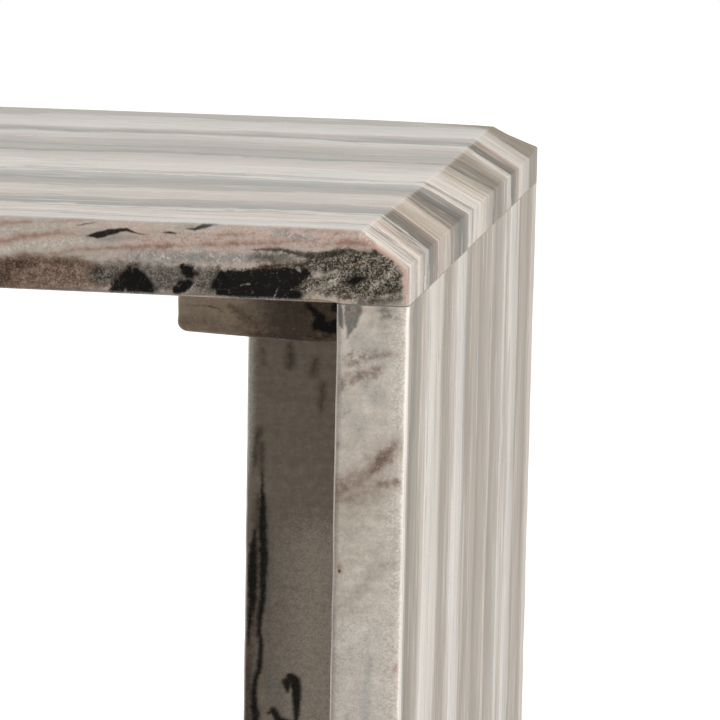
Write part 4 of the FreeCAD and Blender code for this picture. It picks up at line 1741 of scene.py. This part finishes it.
@dataclass
class TableTop:
    """The top: one slab with sloped ends and eased front and back edges."""

    chamfer_run: float = 20.5 * MM
    chamfer_drop: float = 14 * MM
    edge_round: float = 3.5 * MM
    fold_round: float = 1.0 * MM
    lower_bevel: float = 1.4 * MM
    cell: float = 8 * MM

    def build(self, worn: WornEdges) -> None:
        """Make the slab.

        Args:
            worn: tree that wears its edges.
        """
        low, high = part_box("top_slab")
        shoulder = high.z - self.chamfer_drop
        under = [(low.x, low.z), (high.x, low.z)]
        over = [
            (high.x, shoulder),
            (high.x - self.chamfer_run, high.z),
            (low.x + self.chamfer_run, high.z),
            (low.x, shoulder),
        ]
        show_edge = Ease(self.edge_round, EaseStyle.ROUND)
        eases = [Ease(self.lower_bevel)] + [show_edge] * (1 + len(over))
        radii = [0.0] * len(under) + [self.fold_round] * len(over)
        prism = EasedPrism(Axis.BACK, under + over, radii, low.y, high.y, eases, eases, self.cell)
        # Its contrast and lift paint sheen on the flat of the top.
        finish = StoneFinish(
            "striped_stone_top", (high.x / MM, low.y / MM, high.z / MM), (high.y - low.y) / MM,
            TOP_BANDS, seed=3.0, face_tones=(Tone.ROSE, Tone.BEIGE), drifts=TOP_DRIFTS, marks=TOP_MARKS,
            wrap=(0.5, 1.2, 6.0), specular=0.35, rosy_rim=45.0, contrast=(0.95, 1.42),
            lift=(0.985, 1.15), lean=TOP_LEAN,
        )
        TopSlab(
            "top_slab", prism, finish,
            bevel=self.lower_bevel, slope_run=self.chamfer_run, slope_drop=self.chamfer_drop,
        ).build(worn)


@dataclass
class FloorPads:
    """Felt pads of one leg: two under its side panel and one under its return.

    Args:
        side: right or left.
        radius: of a pad.
        softness: how much smaller its flat faces are than its waist.
        fray: how far its side is pressed in.
        wave: size of those dents.
        fill: how firm it is; not used.
    """

    side: str
    radius: float = 11 * MM
    softness: float = 0.06
    fray: float = 0.4 * MM
    wave: float = 1.5 * MM
    fill: float = 0.9

    def build(self, discs: FeltDiscs, felt: bpy.types.Material) -> None:
        """Make the pads and put them in place of their node.

        Args:
            discs: tree that stamps them.
            felt: their material.
        """
        node = f"{self.side}_floor_pads"
        low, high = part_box(node)
        inner, outer = low.x + self.radius, high.x - self.radius
        if self.side == "left":
            inner, outer = outer, inner
        middle = (low + high) / 2
        mesh = bpy.data.meshes.new(node)
        mesh.from_pydata([
            (outer, low.y + self.radius, middle.z),
            (outer, high.y - self.radius, middle.z),
            (inner, middle.y, middle.z),
        ], [], [])
        piece = new_piece(f"{node}_felt", mesh)
        discs.apply(piece, {
            "Radius": self.radius,
            "Height": high.z - low.z,
            "Softness": self.softness,
            "Fray": self.fray,
            "Wave": self.wave,
            "Material": felt,
        })
        smooth(piece)
        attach(piece, BODY)
        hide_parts(node)
        log.info("%s: %d faces", piece.name, len(piece.data.polygons))


@dataclass
class Leg:
    """One leg: side panel, return and bearer, with their resin, pins and pads.

    Args:
        side: right or left.
        seed: picks the run of its stone.
        materials: finish of each fitting.
    """

    side: str
    seed: float
    edge_round: float = 3.5 * MM
    foot_bevel: float = 2 * MM
    bearer_round: float = 5 * MM
    bearer_wear: float = 0.8 * MM
    bearer_wave: float = 9 * MM
    cell: float = 8 * MM
    bearer_cell: float = 3 * MM
    materials: dict[str, bpy.types.Material] = field(default_factory=dict)

    SIDES = 4
    RETURN_SEED = 20
    BEARER_SEED = 40

    def build(self, worn: WornEdges) -> None:
        """Make the slabs and dress the fittings.

        Args:
            worn: tree that wears the slabs' edges.
        """
        self._panel(worn)
        self._return(worn)
        self._bearer(worn)
        for name, material in self.materials.items():
            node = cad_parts[f"{self.side}_{name}"]
            node.data.materials.clear()
            node.data.materials.append(material)
            log.info("%s: %s", node.name, material.name)

    def _slab_prism(self, box: Box, radii: list[float], lower: list[Ease], cell: float) -> EasedPrism:
        """Slab with eased corners and lower edges.

        Args:
            box: its lowest and highest corners.
            radii: radius of each corner of its plan.
            lower: lower edge of each side.
            cell: size of its mesh.

        Returns:
            The shape.
        """
        low, high = box
        plan = [(low.x, low.y), (high.x, low.y), (high.x, high.y), (low.x, high.y)]
        return EasedPrism(Axis.UP, plan, radii, low.z, high.z, lower, [Ease()] * self.SIDES, cell)

    def _stone(
        self, label: str, box: Box, bands: Bands, tones: tuple[Tone, Tone], marks: Marks,
        seed: float = 0.0, **looks: object,
    ) -> StoneFinish:
        """Stone of one slab, counted from under the top's own corner.

        Args:
            label: its name within the leg.
            box: its lowest and highest corners.
            bands: its stripes.
            tones: the two tones of its faces.
            marks: minerals, and painted light and shade, of its front face, which only the right leg
                shows.
            seed: added to the leg's own.
            looks: what else differs.

        Returns:
            The finish.
        """
        low, high = box
        table_low, table_high = CAD_BOX
        is_right = self.side == "right"
        across = table_high.x if is_right else table_low.x
        return StoneFinish(
            f"striped_stone_{self.side}_{label}", (across / MM, low.y / MM, table_high.z / MM),
            (high.y - low.y) / MM, bands, self.seed + seed, tones, LEG_DRIFTS, marks if is_right else {},
            **looks,
        )

    def _free_eases(self, ease: Ease) -> list[Ease]:
        """Edge of each side of a plan, square on the side joined to the panel."""
        joined = 1 if self.side == "right" else 3
        return [Ease() if index == joined else ease for index in range(self.SIDES)]

    def _free_corners(self, radius: float) -> list[float]:
        """Radius of each corner of a plan whose joined side keeps its corners."""
        free = {0, 3} if self.side == "right" else {1, 2}
        return [radius if index in free else 0.0 for index in range(self.SIDES)]

    def _panel(self, worn: WornEdges) -> None:
        """Make the side panel.

        Args:
            worn: tree that wears its edges.
        """
        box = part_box(f"{self.side}_side_panel")
        lower = [Ease(self.foot_bevel)] * self.SIDES
        prism = self._slab_prism(box, [self.edge_round] * self.SIDES, lower, self.cell)
        finish = self._stone(
            "panel", box, PANEL_BANDS, (Tone.BEIGE, Tone.CREAM), PANEL_MARKS, wrap=(1.2, 1.2, 1.2),
            streak_scale=2.0, fray=0.2, contrast=(1.0, 1.25), lift=(1.0, 1.16),
        )
        Slab(f"{self.side}_side_panel", prism, finish).build(worn)

    def _return(self, worn: WornEdges) -> None:
        """Make the return.

        Args:
            worn: tree that wears its edges.
        """
        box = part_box(f"{self.side}_return")
        lower = self._free_eases(Ease(self.foot_bevel))
        prism = self._slab_prism(box, self._free_corners(self.edge_round), lower, self.cell)
        finish = self._stone(
            "return", box, OFFCUT_BANDS, (Tone.TAUPE, Tone.TAUPE), RETURN_MARKS, self.RETURN_SEED,
            band_depth=30.0, wrap=(1.0, 1.0, 1.0), specular=0.1, fray=0.2,
        )
        Slab(f"{self.side}_return", prism, finish).build(worn)

    def _bearer(self, worn: WornEdges) -> None:
        """Make the bearer.

        Args:
            worn: tree that wears its edges.
        """
        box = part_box(f"{self.side}_bearer")
        lower = self._free_eases(Ease(self.bearer_round, EaseStyle.ROUND))
        prism = self._slab_prism(box, self._free_corners(self.bearer_round), lower, self.bearer_cell)
        finish = self._stone(
            "bearer", box, TOP_BANDS, (Tone.SAND, Tone.SAND), BEARER_MARKS, self.BEARER_SEED,
            wrap=(6.0, 6.0, 6.0), specular=0.1,
        )
        BearerSlab(
            f"{self.side}_bearer", prism, finish, self.bearer_wear, self.bearer_wave
        ).build(worn)


@dataclass(frozen=True)
class Lamp:
    """Square soft box that faces the table."""

    name: str
    place: tuple[float, float, float]
    size: float
    power: float


LAMPS = (
    Lamp("soft_box", (1.96, -1.74, 1.8), 1.6, 54),
    Lamp("left_fill", (-1.5, -1.0, 0.35), 0.7, 2.5),
    Lamp("back_fill", (-1.55, 1.15, 0.45), 0.7, 22),
)


@dataclass
class Studio:
    """Floor, light and camera.

    The camera stands where the photograph's lines put it, counted from the front right upper
    corner of the table.
    """

    floor_half: float = 6.0
    floor_cells: int = 8
    floor_glow: float = 0.65
    floor_fade: Point = (0.55, 1.05)
    ambient: float = 0.34
    lit_place: tuple[float, float, float] = (0.0, 0.0, 0.4)
    camera_offset: tuple[float, float, float] = (0.20555, -1.37393, 0.18383)
    yaw: float = 9.303
    pitch: float = 9.654
    roll: float = 1.1
    lens: float = 172.7
    sensor: float = 36.0
    clip_start: float = 0.05

    def build(self) -> None:
        """Make everything that isn't the table."""
        self._floor()
        self._world()
        for lamp in LAMPS:
            self._lamp(lamp)
        self._camera()
        bpy.context.scene.view_settings.view_transform = "Standard"

    def _seen_directly(self, graph: ShaderGraph) -> Socket:
        """1 for rays that show a background: from the camera, a gloss or through glass."""
        path = graph.node("ShaderNodeLightPath").outputs
        mirrored = graph.math("MAXIMUM", path["Is Glossy Ray"], path["Is Transmission Ray"])
        return graph.math("MAXIMUM", path["Is Camera Ray"], mirrored)

    def _floor(self) -> None:
        """Plain pale floor that shows white and keeps the table's shadow."""
        work = bmesh.new()
        cells = self.floor_cells
        bmesh.ops.create_grid(work, x_segments=cells, y_segments=cells, size=self.floor_half)
        mesh = bpy.data.meshes.new("floor")
        work.to_mesh(mesh)
        work.free()
        floor = new_piece("floor", mesh)
        material = bpy.data.materials.new("pale_floor")
        graph = ShaderGraph(emptied_tree(material))
        matt = graph.node("ShaderNodeBsdfDiffuse", {"Color": Tone.FLOOR.linear()})
        far = graph.between(graph.measure("LENGTH", graph.here()), *self.floor_fade)
        level = graph.math("MULTIPLY_ADD", far, 1 - self.floor_glow, self.floor_glow)
        strength = graph.math("MULTIPLY", self._seen_directly(graph), level)
        glow = graph.node("ShaderNodeEmission", {"Strength": strength})
        graph.show(graph.node("ShaderNodeAddShader", (matt.outputs[0], glow.outputs[0])))
        mesh.materials.append(material)

    def _world(self) -> None:
        """White surroundings, dimmer as a light than as a background."""
        world = bpy.data.worlds.new("studio")
        graph = ShaderGraph(emptied_tree(world))
        strength = graph.math("MULTIPLY_ADD", self._seen_directly(graph), 1 - self.ambient, self.ambient)
        amounts = {"Color": (1.0, 1.0, 1.0, 1.0), "Strength": strength}
        background = graph.node("ShaderNodeBackground", amounts)
        graph.node("ShaderNodeOutputWorld", (background.outputs[0],))
        bpy.context.scene.world = world

    def _lamp(self, lamp: Lamp) -> None:
        """Put one lamp in place.

        Args:
            lamp: the lamp.
        """
        light = bpy.data.lights.new(lamp.name, "AREA")
        light.size = lamp.size
        light.energy = lamp.power
        holder = new_piece(lamp.name, light)
        holder.location = lamp.place
        aim = Vector(self.lit_place) - Vector(lamp.place)
        holder.rotation_euler = aim.to_track_quat("-Z", "Y").to_euler()

    def _camera(self) -> None:
        """Camera at the photograph's place."""
        low, high = CAD_BOX
        corner = Vector((high.x, low.y, high.z))
        camera = bpy.data.cameras.new("camera")
        camera.lens = self.lens
        camera.sensor_width = self.sensor
        camera.clip_start = self.clip_start
        holder = new_piece("camera", camera)
        turn = (
            Matrix.Rotation(math.radians(self.yaw), 4, "Z")
            @ Matrix.Rotation(math.radians(90 - self.pitch), 4, "X")
            @ Matrix.Rotation(math.radians(self.roll), 4, "Z")
        )
        holder.matrix_world = Matrix.Translation(corner + Vector(self.camera_offset)) @ turn
        bpy.context.scene.camera = holder


def main() -> None:
    """Build the table piece by piece, then the studio."""
    logging.basicConfig(level=logging.INFO, format="%(message)s")
    worn = WornEdges()
    resin = FittingFinish(
        "cured_resin", (Tone.SLATE, Tone.OCHRE), (26, 26, 26), (0.3, 0.5), relief=0.05, grimed=(20, 90)
    ).make()
    steel = FittingFinish(
        "brushed_pin", (Tone.STEEL, Tone.ASH), (0.3, 0.3, 6), (0.25, 0.45), metallic=1.0
    ).make()
    felt = FittingFinish(
        "wool_felt", (Tone.FELT, Tone.ASH), (0.5, 0.5, 0.5), (0.85, 1.0), sheen=0.4, relief=0.3
    ).make()
    fittings = {
        "panel_resin": resin,
        "return_resin": resin,
        "seat_resin": resin,
        "bearer_resin": resin,
        "panel_pins": steel,
        "return_pins": steel,
        "bearer_pin": steel,
    }
    discs = FeltDiscs()
    TableTop().build(worn)
    for side, seed in (("right", 11.0), ("left", 31.0)):
        Leg(side, seed, materials=fittings).build(worn)
        FloorPads(side).build(discs, felt)
    Studio().build()


if __name__ == "__main__":
    main()
